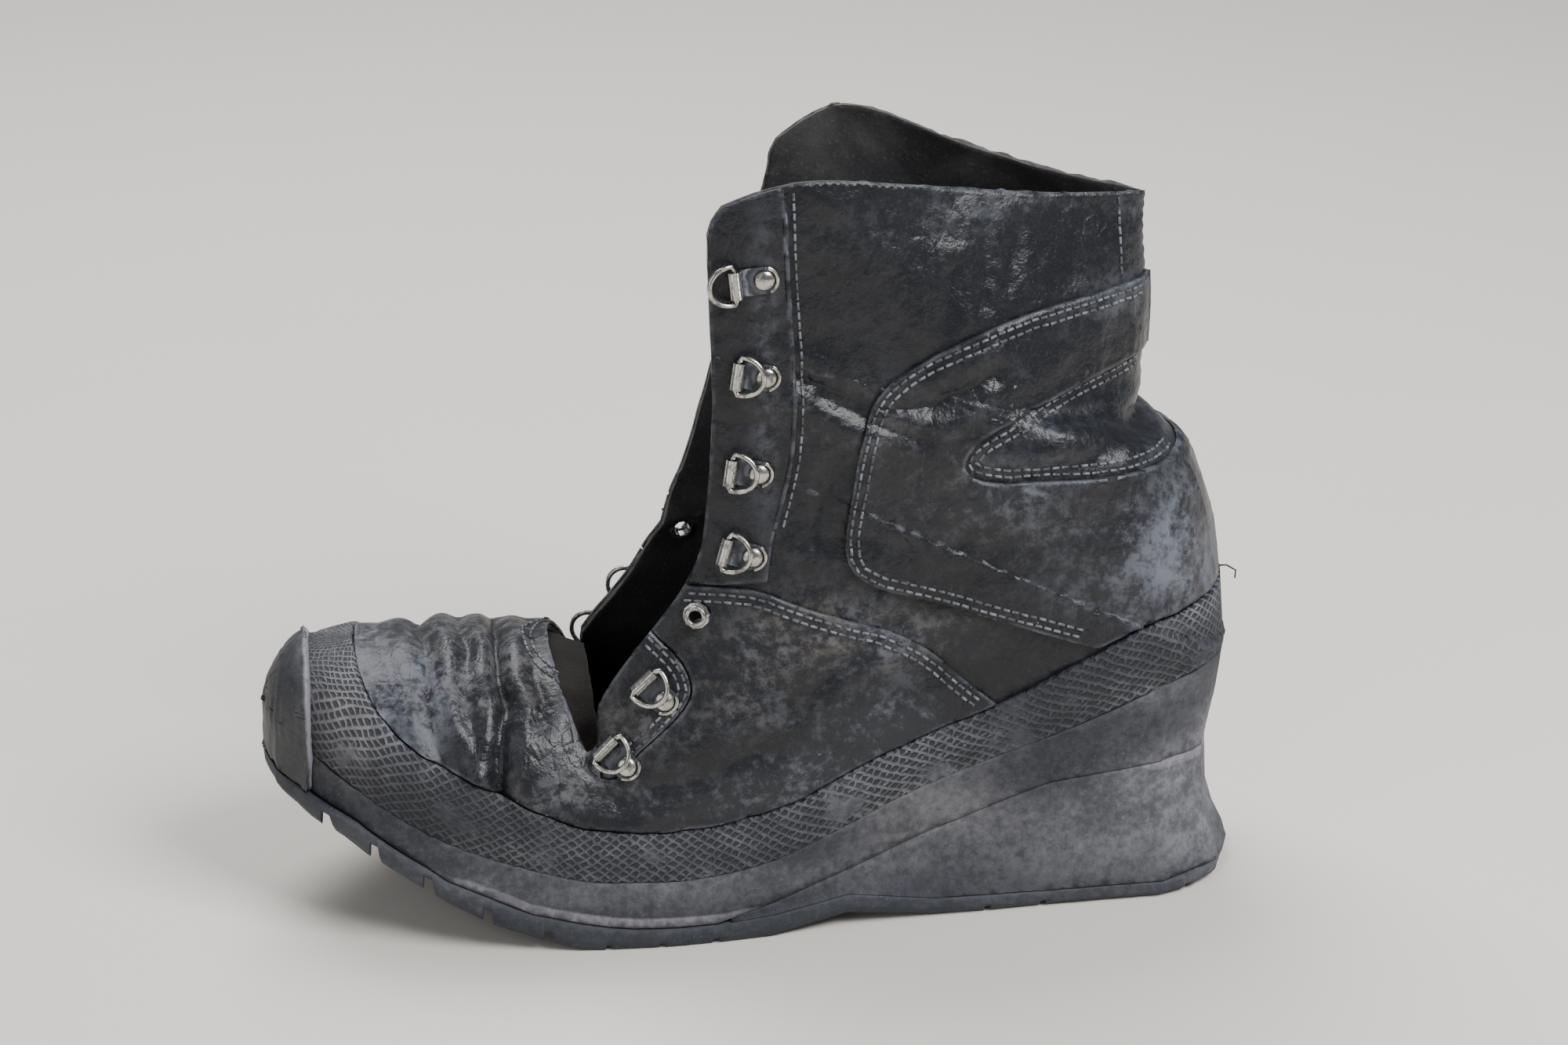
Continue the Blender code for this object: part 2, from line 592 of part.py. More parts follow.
def tread_height(station):
    """The outsole's underside, raised inside its grooves."""
    base = height_at(TREAD, station)
    for groove in GROOVES:
        half = groove.width / 2 / LENGTH
        slope = GROOVE_SLOPE / LENGTH
        inside = min(station - (groove.station - half), (groove.station + half) - station)
        if inside > 0:
            return base + groove.depth * min(inside / slope, 1.0)
    return base


def build_sole(group):
    grooved = groove_stations()
    near = 0.6 * GROOVE_SLOPE / LENGTH
    plain = [s for s in plan_stations() if all(abs(s - edge) > 2 * near for edge in grooved)]
    outsole = sole_layer(
        "outsole", tread_height, lambda s: level_on_rings(OUTSOLE_TOP, s), OUTSOLE_FLARE, group,
        material("tread_rubber", RUBBER_TREAD), sorted(plain + grooved), (0.0, 0.35, 1.0))
    wedge_stations = [s for s in plan_stations() if s < WEDGE_FRONT - 0.01] + [WEDGE_FRONT]
    wedge = sole_layer(
        "heel_wedge", lambda s: height_at(OUTSOLE_TOP, s) + CLEAR, lambda s: height_at(WEDGE_TOP, s),
        WEDGE_FLARE, group, material("wedge_rubber", RUBBER_SOLE), wedge_stations, (0.0, 0.22, 0.55, 1.0))
    midsole = sole_layer(
        "midsole", lambda s: sole_top(s) + CLEAR, lambda s: height_at(FEATHER, s), MIDSOLE_FLARE, group,
        material("midsole_rubber", RUBBER_SOLE), plan_stations([WEDGE_FRONT]), (0.0, 0.5, 1.0))
    inset = -(LEATHER + 2 * CLEAR)
    board = [Flare(0.0, inset, inset, inset, inset), Flare(1.0, inset, inset, inset, inset)]
    insole = sole_layer(
        "insole", lambda s: height_at(FEATHER, s) + CLEAR, lambda s: height_at(FEATHER, s) + CLEAR + INSOLE,
        board, group, material("insole_board", BOARD), plan_stations(), (0.0, 1.0))
    return outsole, wedge, midsole, insole


def build_upper(group, field):
    shell = skin(upper_surface(), field, -LEATHER, LEATHER)
    return add_object("upper", shell, group, material("upper_leather", LEATHER_BLACK))


def beside_line(points, gap):
    """An open line moved to its left by a gap, as seen with X to the right and Z up."""
    real = [Vector((x * LENGTH, z * SHAFT_HEIGHT)) for x, z in points]
    moved = []
    for index, point in enumerate(real):
        before = (point - real[index - 1]).normalized() if index else None
        after = (real[index + 1] - point).normalized() if index + 1 < len(real) else None
        before = before or after
        after = after or before
        normal = Vector((-before.y - after.y, before.x + after.x)).normalized()
        reach = gap / max(normal.dot(Vector((-before.y, before.x))), 0.5)
        point = point + normal * reach
        moved.append((point.x / LENGTH, point.y / SHAFT_HEIGHT))
    return moved


def build_overlays(group, cutters, field):
    panel = material("panel_leather", LEATHER_PANEL)
    rand_outline = soften(RAND_LINE, 1) + [(1.1, 0.46), (1.1, 0.0), (-0.07, 0.0)]
    rand = overlay("rand", rand_outline, group, cutters, field, material("rand_rubber", RUBBER_RAND), thickness=RAND)
    counter = overlay("counter_overlay", soften(COUNTER, 2), group, cutters, field, panel,
                      spokes=(12, None))
    above_rand = [point for point in beside_line(soften(RAND_LINE, 1), PANEL_GAP) if point[0] > 0.255]
    above_rand = [(min(x, 0.905), z) for x, z in above_rand if z < 0.44]
    front = soften(NOTCH, 2) + FLAP_FOOT[:-1] + [(0.905, 0.460)]
    wing_outline = soften(WING_TOP, 1) + front + above_rand[::-1]
    vamp = overlay("vamp_panel", wing_outline, group, cutters, field, panel, spokes=(0, 22))
    lower = beside_line(soften(NOTCH, 2) + FLAP_FOOT[:-1], PANEL_GAP)
    eyestays = []
    for side, label in ((1, "outer"), (-1, "inner")):
        back = EYESTAY_BACK if side > 0 else EYESTAY_BACK_IN
        upper_line = soften(back + EYESTAY_FOOT[:1], 1) + EYESTAY_FOOT[1:]
        eyestays.append(overlay("upper_eyestay_" + label, upper_line, group, cutters, field, panel, (side,),
                                spokes=(12, None)))
        eyestays.append(overlay("lower_eyestay_" + label, lower, group, cutters, field, panel, (side,),
                                spokes=(7, 16)))
    return rand, counter, vamp, eyestays


def build_bumper(group, field):
    cap = skin(upper_surface(0, CAP_SPOKE, apron=True), field, LAY_GAP + RAND + CLEAR, BUMPER)
    return add_object("toe_bumper", cap, group, material("cap_rubber", RUBBER_CAP))


def build_tongue(group, field):
    """The stub left under the vamp's edge: the vamp's own arch, let in below it and carried back and down."""
    below = LEATHER + CLEAR + TONGUE_DROP
    sections = [(THROAT_SPOKE - 1, 0.0), (THROAT_SPOKE, 0.0), (THROAT_SPOKE, 0.006), (THROAT_SPOKE, 0.013)]
    foot_row = 5
    mesh = bmesh.new()
    grid = []
    for index, back in sections:
        line = []
        for side, order in ((1, range(foot_row, WALL_ROWS + 1)), (-1, range(WALL_ROWS - 1, foot_row - 1, -1))):
            for row in order:
                point = spoke_point(index, row, side)
                point -= field[place_key(point)] * below
                point += Vector((-back, -point.y * back * 6, -back * 0.35))
                line.append(mesh.verts.new(point))
        grid.append(line)
    for low, high in zip(grid, grid[1:]):
        for step in range(len(low) - 1):
            mesh.faces.new([low[step], high[step], high[step + 1], low[step + 1]])
    tongue = add_object("tongue", mesh, group, material("tongue_suede", SUEDE_BROWN))
    wall = tongue.modifiers.new("Wall", "SOLIDIFY")
    wall.thickness = TONGUE
    wall.offset = -1.0
    return tongue


def flat_curve(name, outlines, thickness, group):
    """A filled flat outline with a thickness, its holes as further outlines."""
    curve = bpy.data.curves.new(name, "CURVE")
    curve.dimensions = "2D"
    curve.fill_mode = "BOTH"
    curve.extrude = thickness / 2
    for outline in outlines:
        spline = curve.splines.new("POLY")
        spline.points.add(len(outline) - 1)
        for point, (x, y) in zip(spline.points, outline):
            point.co = (x, y, 0.0, 1.0)
        spline.use_cyclic_u = True
    obj = bpy.data.objects.new(name, curve)
    group.objects.link(obj)
    return obj


def meshed(obj, turn):
    """A curve object as a closed mesh, turned into its place."""
    graph = bpy.context.evaluated_depsgraph_get()
    data = bpy.data.meshes.new_from_object(obj.evaluated_get(graph))
    group = obj.users_collection[0]
    name = obj.name
    bpy.data.objects.remove(obj, do_unlink=True)
    weld = bmesh.new()
    weld.from_mesh(data)
    bmesh.ops.remove_doubles(weld, verts=weld.verts, dist=CLEAR / 10)
    bmesh.ops.recalc_face_normals(weld, faces=weld.faces)
    weld.transform(turn)
    weld.to_mesh(data)
    weld.free()
    return add_object(name, data, group)


def arc(centre, radius, start, end, steps):
    span = range(steps + 1)
    angles = [radians(start + (end - start) * k / steps) for k in span]
    return [(centre[0] + radius * cos(a), centre[1] + radius * sin(a)) for a in angles]


def clip_mesh(cutters):
    """A folded strap: a barrel round the ring's bar and a plate back to the rivet.

    Its own axes: X back from the bar, Y along the bar, Z out from the leather; the bar is at the origin.
    """
    bore = WIRE / 2 + BAR_PLAY
    outer = bore + CLIP_SHEET
    barrel = flat_curve("clip_barrel", [arc((0, 0), outer, 0, 324, 9), arc((0, 0), bore, 0, 315, 7)],
                        CLIP_WIDTH, cutters)
    upright = Matrix(((1, 0, 0, 0), (0, 0, 1, 0), (0, 1, 0, 0), (0, 0, 0, 1)))
    barrel = meshed(barrel, upright)
    half = CLIP_WIDTH / 2
    plate_line = [(0.0, half), (0.0, -half), (RIVET_REACH - PLATE_RADIUS, -half)]
    plate_line += arc((RIVET_REACH, 0), PLATE_RADIUS, -100, 100, 6) + [(RIVET_REACH - PLATE_RADIUS, half)]
    plate = flat_curve("clip_plate", [plate_line], CLIP_SHEET, cutters)
    plate = meshed(plate, Matrix.Translation((0, 0, CLIP_SHEET / 2 - outer)))
    boolean(plate, barrel, "UNION")
    applied(plate)
    hide_cutter(barrel)
    mesh = plate.data
    bpy.data.objects.remove(plate, do_unlink=True)
    return mesh


def ring_mesh(cutters):
    """A D-ring of round wire with its straight bar on the origin's Y axis and its bow towards +X."""
    half = (RING_HEIGHT - WIRE) / 2
    corner = 0.30
    path = [(0.0, -half * 0.8), (0.0, half * 0.8)]
    for k in range(7):
        angle = pi / 2 - pi * k / 6
        path.append((RING_DEPTH * (corner * 0.3 + (1 - corner * 0.3) * cos(angle)), half * sin(angle)))
    curve = bpy.data.curves.new("ring", "CURVE")
    curve.dimensions = "3D"
    curve.bevel_depth = WIRE / 2
    curve.bevel_resolution = 1
    spline = curve.splines.new("POLY")
    spline.points.add(len(path) - 1)
    for point, (x, y) in zip(spline.points, path):
        point.co = (x, y, 0.0, 1.0)
    spline.use_cyclic_u = True
    obj = bpy.data.objects.new("ring", curve)
    cutters.objects.link(obj)
    graph = bpy.context.evaluated_depsgraph_get()
    mesh = bpy.data.meshes.new_from_object(obj.evaluated_get(graph))
    bpy.data.objects.remove(obj, do_unlink=True)
    mesh.shade_smooth()
    return mesh


def turned_mesh(name, profile, segments, cutters):
    """A solid turned about Z from a closed profile that runs down its outer side."""
    mesh = bmesh.new()
    verts = [mesh.verts.new((r, 0.0, z)) for r, z in profile]
    closed = profile[0][0] > 0
    for low, high in zip(verts, verts[1:]):
        mesh.edges.new((low, high))
    if closed:
        mesh.edges.new((verts[-1], verts[0]))
    obj = add_object(name, mesh, cutters)
    turn = obj.modifiers.new("Turn", "SCREW")
    turn.steps = segments
    turn.render_steps = segments
    turn.use_merge_vertices = True
    turn.merge_threshold = CLEAR / 30
    applied(obj)
    tidy = bmesh.new()
    tidy.from_mesh(obj.data)
    bmesh.ops.remove_doubles(tidy, verts=tidy.verts, dist=CLEAR / 30)
    bmesh.ops.recalc_face_normals(tidy, faces=tidy.faces)
    tidy.to_mesh(obj.data)
    tidy.free()
    data = obj.data
    bpy.data.objects.remove(obj, do_unlink=True)
    data.shade_smooth()
    data.set_sharp_from_angle(angle=radians(40))
    return data


def rivet_mesh(cutters):
    profile = [(0.0, RIVET_DOME)]
    profile += [(RIVET_RADIUS * sin(a), RIVET_DOME * cos(a)) for a in (radians(30), radians(60), radians(85))]
    profile += [(RIVET_RADIUS * 0.96, 0.0), (0.0, 0.0)]
    return turned_mesh("rivet", profile, 8, cutters)


def eyelet_mesh(cutters):
    bore = EYELET_BORE / 2
    barrel = bore + EYELET_WALL
    rim = barrel + EYELET_FLANGE
    top = LEATHER / 2 + OVERLAY + 3 * CLEAR
    foot = -(LEATHER / 2 + 2 * CLEAR)
    lip = EYELET_WALL
    profile = [
        (bore, top + lip * 0.6), (barrel, top + lip), (rim, top + lip * 0.5), (rim, top), (barrel, top),
        (barrel, foot), (rim, foot), (rim, foot - lip * 0.5), (barrel, foot - lip), (bore, foot - lip * 0.6),
    ]
    return turned_mesh("eyelet", profile, 10, cutters)


def axes_on(out, side, lean):
    """Axes for a lace place: X back from the throat, Y along it, Z out of the leather."""
    along = Vector((-sin(radians(lean)), 0.0, cos(radians(lean))))
    along = (along - out * along.dot(out)).normalized()
    back = along.cross(out)
    if back.x > 0:
        back = -back
    return Matrix((back, out.cross(back), out)).transposed()


def surface_frame(tree, station, height, side, lean):
    """Where a lace place sits on the upper: levelled over the patch that its plate covers."""
    start = Vector((x_at(station), side * 0.2, height * SHAFT_HEIGHT))
    place, normal, _, _ = tree.ray_cast(start, Vector((0, -side, 0)))
    axes = axes_on(normal, side, lean)
    far = RIVET_REACH + PLATE_RADIUS
    hits = []
    for back in (0.0, far / 2, far):
        for along in (-PLATE_RADIUS, 0.0, PLATE_RADIUS):
            above = place + axes @ Vector((back, along, SEAT_REACH))
            hit, slope, _, _ = tree.ray_cast(above, axes @ Vector((0, 0, -1)))
            if hit is not None:
                hits.append((hit, slope))
    axes = axes_on(sum((slope for _, slope in hits), Vector()).normalized(), side, lean)
    out = axes.col[2]
    place = place + out * max((hit - place).dot(out) for hit, _ in hits)
    return place, axes.to_4x4()


def lace_places():
    for side, label, laces in ((1, "outer", LACES_OUTER), (-1, "inner", LACES_INNER)):
        for number, lace in enumerate(laces, start=1):
            yield side, "%s_%d" % (label, number), lace


def build_laces(group, cutters, tree):
    """Clips, rivets and D-rings; each ring's own origin lies on its hinge."""
    clip, ring, rivet = clip_mesh(cutters), ring_mesh(cutters), rivet_mesh(cutters)
    finish = material("nickel", NICKEL)
    for data in (clip, ring, rivet):
        data.materials.append(finish)
    bar_height = WIRE / 2 + BAR_PLAY + CLIP_SHEET
    seat = LAY_GAP + OVERLAY + SEAT_LIFT
    for side, label, lace in lace_places():
        middle, axes = surface_frame(tree, lace.station, lace.height, side, lace.lean)
        place = Matrix.Translation(middle) @ axes @ Matrix.Translation((0, 0, seat + bar_height))
        made = add_object("clip_" + label, clip, group)
        made.matrix_world = place
        made = add_object("rivet_" + label, rivet, group)
        made.matrix_world = place @ Matrix.Translation((RIVET_REACH, 0, CLIP_SHEET - bar_height + CLEAR))
        made = add_object("d_ring_" + label, ring, group)
        made.matrix_world = place @ Matrix.Rotation(-radians(lace.ring), 4, "Y")


def build_eyelets(group, cutters, tree, pierced):
    """One plain eyelet a side, through the upper and the panel over it."""
    eyelet = eyelet_mesh(cutters)
    eyelet.materials.append(material("eyelet_nickel", NICKEL))
    drill_radius = EYELET_BORE / 2 + EYELET_WALL + CLEAR
    for side, label, (station, height) in ((1, "outer", EYELET_OUTER), (-1, "inner", EYELET_INNER)):
        middle, axes = surface_frame(tree, station, height, side, 30)
        place = Matrix.Translation(middle) @ axes @ Matrix.Translation((0, 0, -LEATHER / 2))
        made = add_object("eyelet_" + label, eyelet, group)
        made.matrix_world = place
        drill = bmesh.new()
        bmesh.ops.create_cone(drill, cap_ends=True, segments=16, radius1=drill_radius, radius2=drill_radius,
                              depth=LEATHER * 8)
        drill = add_object("eyelet_drill_" + label, drill, cutters)
        drill.matrix_world = place
        hide_cutter(drill)
        for panel in pierced:
            boolean(panel, drill, "DIFFERENCE")


def build():
    clear_scene()
    group = collection("work_boot")
    cutters = collection("work_boot_cutters")
    build_sole(group)
    field = outward_field()
    upper = build_upper(group, field)
    rand, counter, vamp, eyestays = build_overlays(group, cutters, field)
    build_bumper(group, field)
    build_tongue(group, field)
    tree = BVHTree.FromBMesh(upper_surface())
    build_laces(group, cutters, tree)
    build_eyelets(group, cutters, tree, (upper, vamp))
    for obj in group.objects:
        if obj.type == "MESH" and obj.name in ("upper", "toe_bumper", "tongue"):
            shade(obj)


build()
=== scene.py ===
"""Dresses a worn leather lace-up work boot: creased leather, stitching, pitted rubber and nickel rings.

Metres, +X to the toe, +Y to the outer side, +Z up, with the floor at Z 0 under the heel.
"""

import json
from math import cos, pi, radians, sin

import bmesh
import bpy
import numpy as np
from bpy.props import FloatProperty, FloatVectorProperty, PointerProperty
from mathutils import Matrix, Vector
from mathutils.bvhtree import BVHTree
from mathutils.kdtree import KDTree
from mathutils.noise import fractal


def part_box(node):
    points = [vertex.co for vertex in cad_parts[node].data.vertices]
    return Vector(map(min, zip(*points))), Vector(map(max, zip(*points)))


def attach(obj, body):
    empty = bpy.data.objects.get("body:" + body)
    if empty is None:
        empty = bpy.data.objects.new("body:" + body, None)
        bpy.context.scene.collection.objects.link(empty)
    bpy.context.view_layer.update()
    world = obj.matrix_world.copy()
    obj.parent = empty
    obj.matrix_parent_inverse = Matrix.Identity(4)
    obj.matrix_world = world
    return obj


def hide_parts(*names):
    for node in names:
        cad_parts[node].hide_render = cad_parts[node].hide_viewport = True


bl_info = {
    "name": "Worn Work Boot",
    "version": (1, 0, 0),
    "blender": (4, 5, 0),
    "location": "View3D > Sidebar > Boot",
    "description": "Builds a worn lace-up work boot over its packed frame",
    "category": "Object",
}

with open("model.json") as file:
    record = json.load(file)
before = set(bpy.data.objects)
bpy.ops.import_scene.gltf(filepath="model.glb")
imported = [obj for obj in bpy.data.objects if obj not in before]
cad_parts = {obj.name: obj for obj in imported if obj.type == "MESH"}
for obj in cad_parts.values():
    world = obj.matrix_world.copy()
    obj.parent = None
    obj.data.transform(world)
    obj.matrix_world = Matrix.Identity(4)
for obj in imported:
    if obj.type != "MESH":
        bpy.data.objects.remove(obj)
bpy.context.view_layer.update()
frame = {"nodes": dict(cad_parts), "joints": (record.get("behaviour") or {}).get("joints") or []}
NODES = frame["nodes"]

# Sizes are in metres, angles in radians, lamps in watts
LENGTH = 0.300
SHAFT_HEIGHT = 0.240
BALL_BREADTH = 0.100
HEEL_SEAT = 0.040
CLEAR = 0.0003
FOOT_STRIP = 0.0025
WALL_ROWS = 9
THROAT_SPOKE = 6
HEEL_SPOKE = 19
COLLAR_FADE = 4
MIDDLE_FADE = 0.01
SHELL_EDGE = 0.0028
PIECE_EDGE = 0.0024
FINE_EDGE = 0.0018
TONGUE_EDGE = 0.0030
SOLE_EDGE = 0.004
FACE_TURN = 0.45
TINY_FACE = 4e-8
LAY_STEP = 0.0008
LAY_BEYOND = 0.002
LAY_FACING = 0.25
STITCH_TOP = 0.0001
STITCH_SHARE = 0.74
PIPING_RADIUS = 0.0008
PIPING_STEP = 0.002
PIPING_SUNK = -0.0002
LOOSE_AT = (0.224, 0.004, 0.084)
LOOSE_SPREAD = (0.010, 0.018, 0.012)
LOOSE_LIFT = 0.0030
TAIL_RADIUS = 0.0003
TAIL = [
    (-0.0372, 0.002, 0.0955), (-0.0402, 0.006, 0.0972), (-0.0424, 0.009, 0.0966), (-0.0420, 0.010, 0.0944),
]
BARREL_RADIUS = 0.0019
BARREL_BORE = 0.0012
CLIP_HALF = 0.0041
CLIP_BEVEL = 0.00018
PLATE_RADIUS = 0.0041
PLATE_THICK = 0.0007
STRAP_LENGTH = 0.0084
CRESCENT_RADIUS = 0.0039
CRESCENT_WIRE = 0.0006
RIVET_REACH = 0.0085
RIVET_SUNK = -0.0009
RIVET_RADIUS = 0.0031
RIVET_DOME = 0.46
RIM_RADIUS = 0.0026
RIM_WIRE = 0.0008
LENS = 85.05
SENSOR = 36.0
AZIMUTH = radians(173.0)
ELEVATION = radians(22.5)
DISTANCE = 1.137
TARGET = (0.098, 0.0, 0.116)
LAMP_AIM = (0.10, 0, 0.08)
LAMPS = [("key", (-0.70, 0.80, 1.30), 0.8, 40.0), ("fill", (1.4, 1.3, 0.9), 1.5, 11.0),
         ("top", (0.35, -0.75, 1.45), 1.0, 30.0)]
SKY = (0.80, 0.84, 0.90, 1.0)
SKY_STRENGTH = 0.26
LEATHER_NODES = ("upper", "vamp_panel", "counter_overlay", "upper_eyestay_outer", "upper_eyestay_inner",
                 "lower_eyestay_outer", "lower_eyestay_inner")

# The last's outline at the feather edge: station, then shares of half the ball's breadth a side
PLAN = [
    (0.00, 0.74, 0.74), (0.20, 0.77, 0.74), (0.32, 0.82, 0.73), (0.40, 0.88, 0.74), (0.50, 0.95, 0.84),
    (0.60, 0.99, 0.95), (0.68, 0.98, 1.00), (0.76, 0.93, 0.99), (0.84, 0.86, 0.92), (0.92, 0.80, 0.84),
    (1.00, 0.76, 0.80),
]
HEEL_BACK = 0.007
HEEL_ROUND = 0.125
TOE_ROUND = 0.76
TOE_TIP = 0.983

# The feather edge's height along the boot: station, share of the shaft's height
FEATHER = [
    (0.00, 0.313), (0.07, 0.308), (0.15, 0.272), (0.23, 0.229), (0.32, 0.196), (0.40, 0.152), (0.48, 0.108),
    (0.57, 0.088), (0.67, 0.092), (0.76, 0.119), (0.83, 0.150), (0.88, 0.186), (0.92, 0.222), (0.96, 0.252),
    (1.00, 0.265),
]

# The upper's sections: back, rise, front x and z of the outer side, the same of the inner side, full
# breadth a side, breadth at the end a side, then how each section rounds at its foot and its crest
SPOKES = [
    (0.983, 0.000, 0.982, 0.288, 0.982, 0.288, 0.76, 0.80, 0.00, 0.00, 0.20, 2.1, 0.10, 2.2),
    (0.972, 0.000, 0.965, 0.321, 0.965, 0.321, 0.77, 0.81, 0.00, 0.00, 0.20, 2.1, 0.10, 2.2),
    (0.943, 0.000, 0.943, 0.338, 0.943, 0.338, 0.79, 0.83, 0.00, 0.00, 0.20, 2.1, 0.12, 2.2),
    (0.893, 0.000, 0.897, 0.342, 0.897, 0.342, 0.82, 0.87, 0.00, 0.00, 0.20, 2.1, 0.14, 2.2),
    (0.817, 0.000, 0.823, 0.342, 0.823, 0.342, 0.89, 0.95, 0.00, 0.00, 0.20, 2.1, 0.15, 2.1),
    (0.737, 0.000, 0.743, 0.335, 0.743, 0.335, 0.95, 1.00, 0.00, 0.00, 0.20, 2.1, 0.15, 2.1),
    (0.690, 0.000, 0.706, 0.333, 0.706, 0.333, 0.98, 1.00, 0.00, 0.00, 0.20, 2.1, 0.15, 2.1),
    (0.659, 0.000, 0.698, 0.311, 0.698, 0.311, 0.99, 1.00, 0.46, 0.46, 0.20, 2.1, 0.15, 2.0),
    (0.633, 0.000, 0.689, 0.282, 0.689, 0.282, 0.99, 0.99, 0.66, 0.66, 0.20, 2.1, 0.15, 1.9),
    (0.610, 0.000, 0.675, 0.252, 0.675, 0.252, 0.99, 0.97, 0.78, 0.78, 0.20, 2.1, 0.15, 1.7),
    (0.587, 0.000, 0.662, 0.271, 0.662, 0.258, 0.98, 0.95, 0.76, 0.76, 0.20, 2.1, 0.18, 1.5),
    (0.550, 0.000, 0.662, 0.310, 0.662, 0.280, 0.97, 0.92, 0.73, 0.73, 0.20, 2.1, 0.20, 1.4),
    (0.490, 0.000, 0.623, 0.383, 0.623, 0.342, 0.94, 0.88, 0.70, 0.71, 0.22, 2.1, 0.22, 1.3),
    (0.413, 0.000, 0.583, 0.446, 0.585, 0.417, 0.91, 0.84, 0.68, 0.70, 0.25, 2.1, 0.25, 1.3),
    (0.320, 0.000, 0.558, 0.508, 0.557, 0.500, 0.87, 0.82, 0.68, 0.69, 0.25, 2.1, 0.28, 1.3),
    (0.200, 0.000, 0.552, 0.562, 0.540, 0.567, 0.83, 0.80, 0.68, 0.69, 0.25, 2.1, 0.30, 1.3),
    (0.087, 0.000, 0.548, 0.608, 0.528, 0.621, 0.80, 0.78, 0.68, 0.69, 0.25, 2.1, 0.32, 1.3),
    (0.030, 0.000, 0.547, 0.631, 0.522, 0.652, 0.79, 0.78, 0.68, 0.69, 0.25, 2.1, 0.34, 1.3),
    (0.010, 0.000, 0.546, 0.645, 0.518, 0.669, 0.79, 0.78, 0.68, 0.69, 0.25, 2.1, 0.34, 1.3),
    (0.007, 0.000, 0.546, 0.654, 0.516, 0.679, 0.78, 0.78, 0.68, 0.69, 0.25, 2.1, 0.35, 1.3),
    (0.012, 0.092, 0.545, 0.679, 0.509, 0.708, 0.78, 0.77, 0.68, 0.69, 0.26, 2.1, 0.36, 1.3),
    (0.023, 0.175, 0.544, 0.708, 0.503, 0.738, 0.77, 0.76, 0.68, 0.69, 0.28, 2.0, 0.38, 1.3),
    (0.045, 0.258, 0.545, 0.738, 0.495, 0.771, 0.75, 0.75, 0.68, 0.69, 0.32, 1.9, 0.40, 1.3),
    (0.077, 0.302, 0.545, 0.767, 0.488, 0.800, 0.73, 0.73, 0.68, 0.69, 0.38, 1.8, 0.45, 1.3),
    (0.098, 0.329, 0.546, 0.790, 0.483, 0.825, 0.72, 0.72, 0.68, 0.69, 0.44, 1.7, 0.50, 1.3),
    (0.094, 0.404, 0.547, 0.833, 0.473, 0.862, 0.71, 0.71, 0.68, 0.70, 0.52, 1.6, 0.60, 1.3),
    (0.093, 0.488, 0.548, 0.879, 0.465, 0.900, 0.70, 0.72, 0.68, 0.71, 0.62, 1.45, 0.66, 1.3),
    (0.096, 0.558, 0.547, 0.917, 0.460, 0.925, 0.70, 0.74, 0.68, 0.73, 0.72, 1.3, 0.74, 1.3),
    (0.097, 0.613, 0.533, 0.952, 0.452, 0.946, 0.70, 0.76, 0.68, 0.75, 0.80, 1.15, 0.80, 1.3),
]
# How far the collar's edge stands over a straight line: share of the way, then the outer and inner side
COLLAR = [
    (0.00, 0.000, 0.000), (0.20, 0.006, 0.003), (0.40, 0.019, 0.015), (0.60, 0.031, 0.034),
    (0.75, 0.038, 0.052), (0.87, 0.034, 0.048), (0.95, 0.018, 0.024), (1.00, 0.000, 0.000),
]

# Side-view lines of the panels, as (station, height)
COUNTER_TOP = [
    (0.10, 0.803), (0.17, 0.800), (0.243, 0.792), (0.320, 0.765), (0.373, 0.727), (0.397, 0.680),
    (0.410, 0.592), (0.420, 0.508), (0.402, 0.466), (0.317, 0.433), (0.240, 0.398), (0.175, 0.371),
]
COUNTER_GAP = [
    (0.07, 0.585), (0.20, 0.588), (0.280, 0.590), (0.304, 0.615), (0.280, 0.652), (0.20, 0.692),
    (0.133, 0.706), (0.105, 0.709),
]
WING_TOP = [
    (0.275, 0.310), (0.290, 0.325), (0.327, 0.370), (0.362, 0.398), (0.412, 0.421), (0.455, 0.438),
    (0.500, 0.462), (0.540, 0.466), (0.575, 0.466),
]
NOTCH = [
    (0.625, 0.440), (0.612, 0.412), (0.582, 0.378), (0.570, 0.352), (0.569, 0.325), (0.597, 0.284),
    (0.632, 0.248), (0.647, 0.236),
]
EYESTAY_BACK = [
    (0.474, 0.970), (0.472, 0.870), (0.465, 0.740), (0.467, 0.645), (0.474, 0.595), (0.487, 0.535),
]
EYESTAY_BACK_IN = [
    (0.387, 0.960), (0.390, 0.900), (0.410, 0.790), (0.447, 0.655), (0.464, 0.590), (0.487, 0.510),
]

# The seam round the foot of the throat, seen from above: station, share of half the ball's breadth
THROAT_SEAM = [(0.655, 0.60), (0.676, 0.53), (0.702, 0.40), (0.718, 0.22), (0.724, 0.0)]
BACK_SEAM = [(0.124, 0.812), (0.126, 0.870), (0.128, 0.945)]

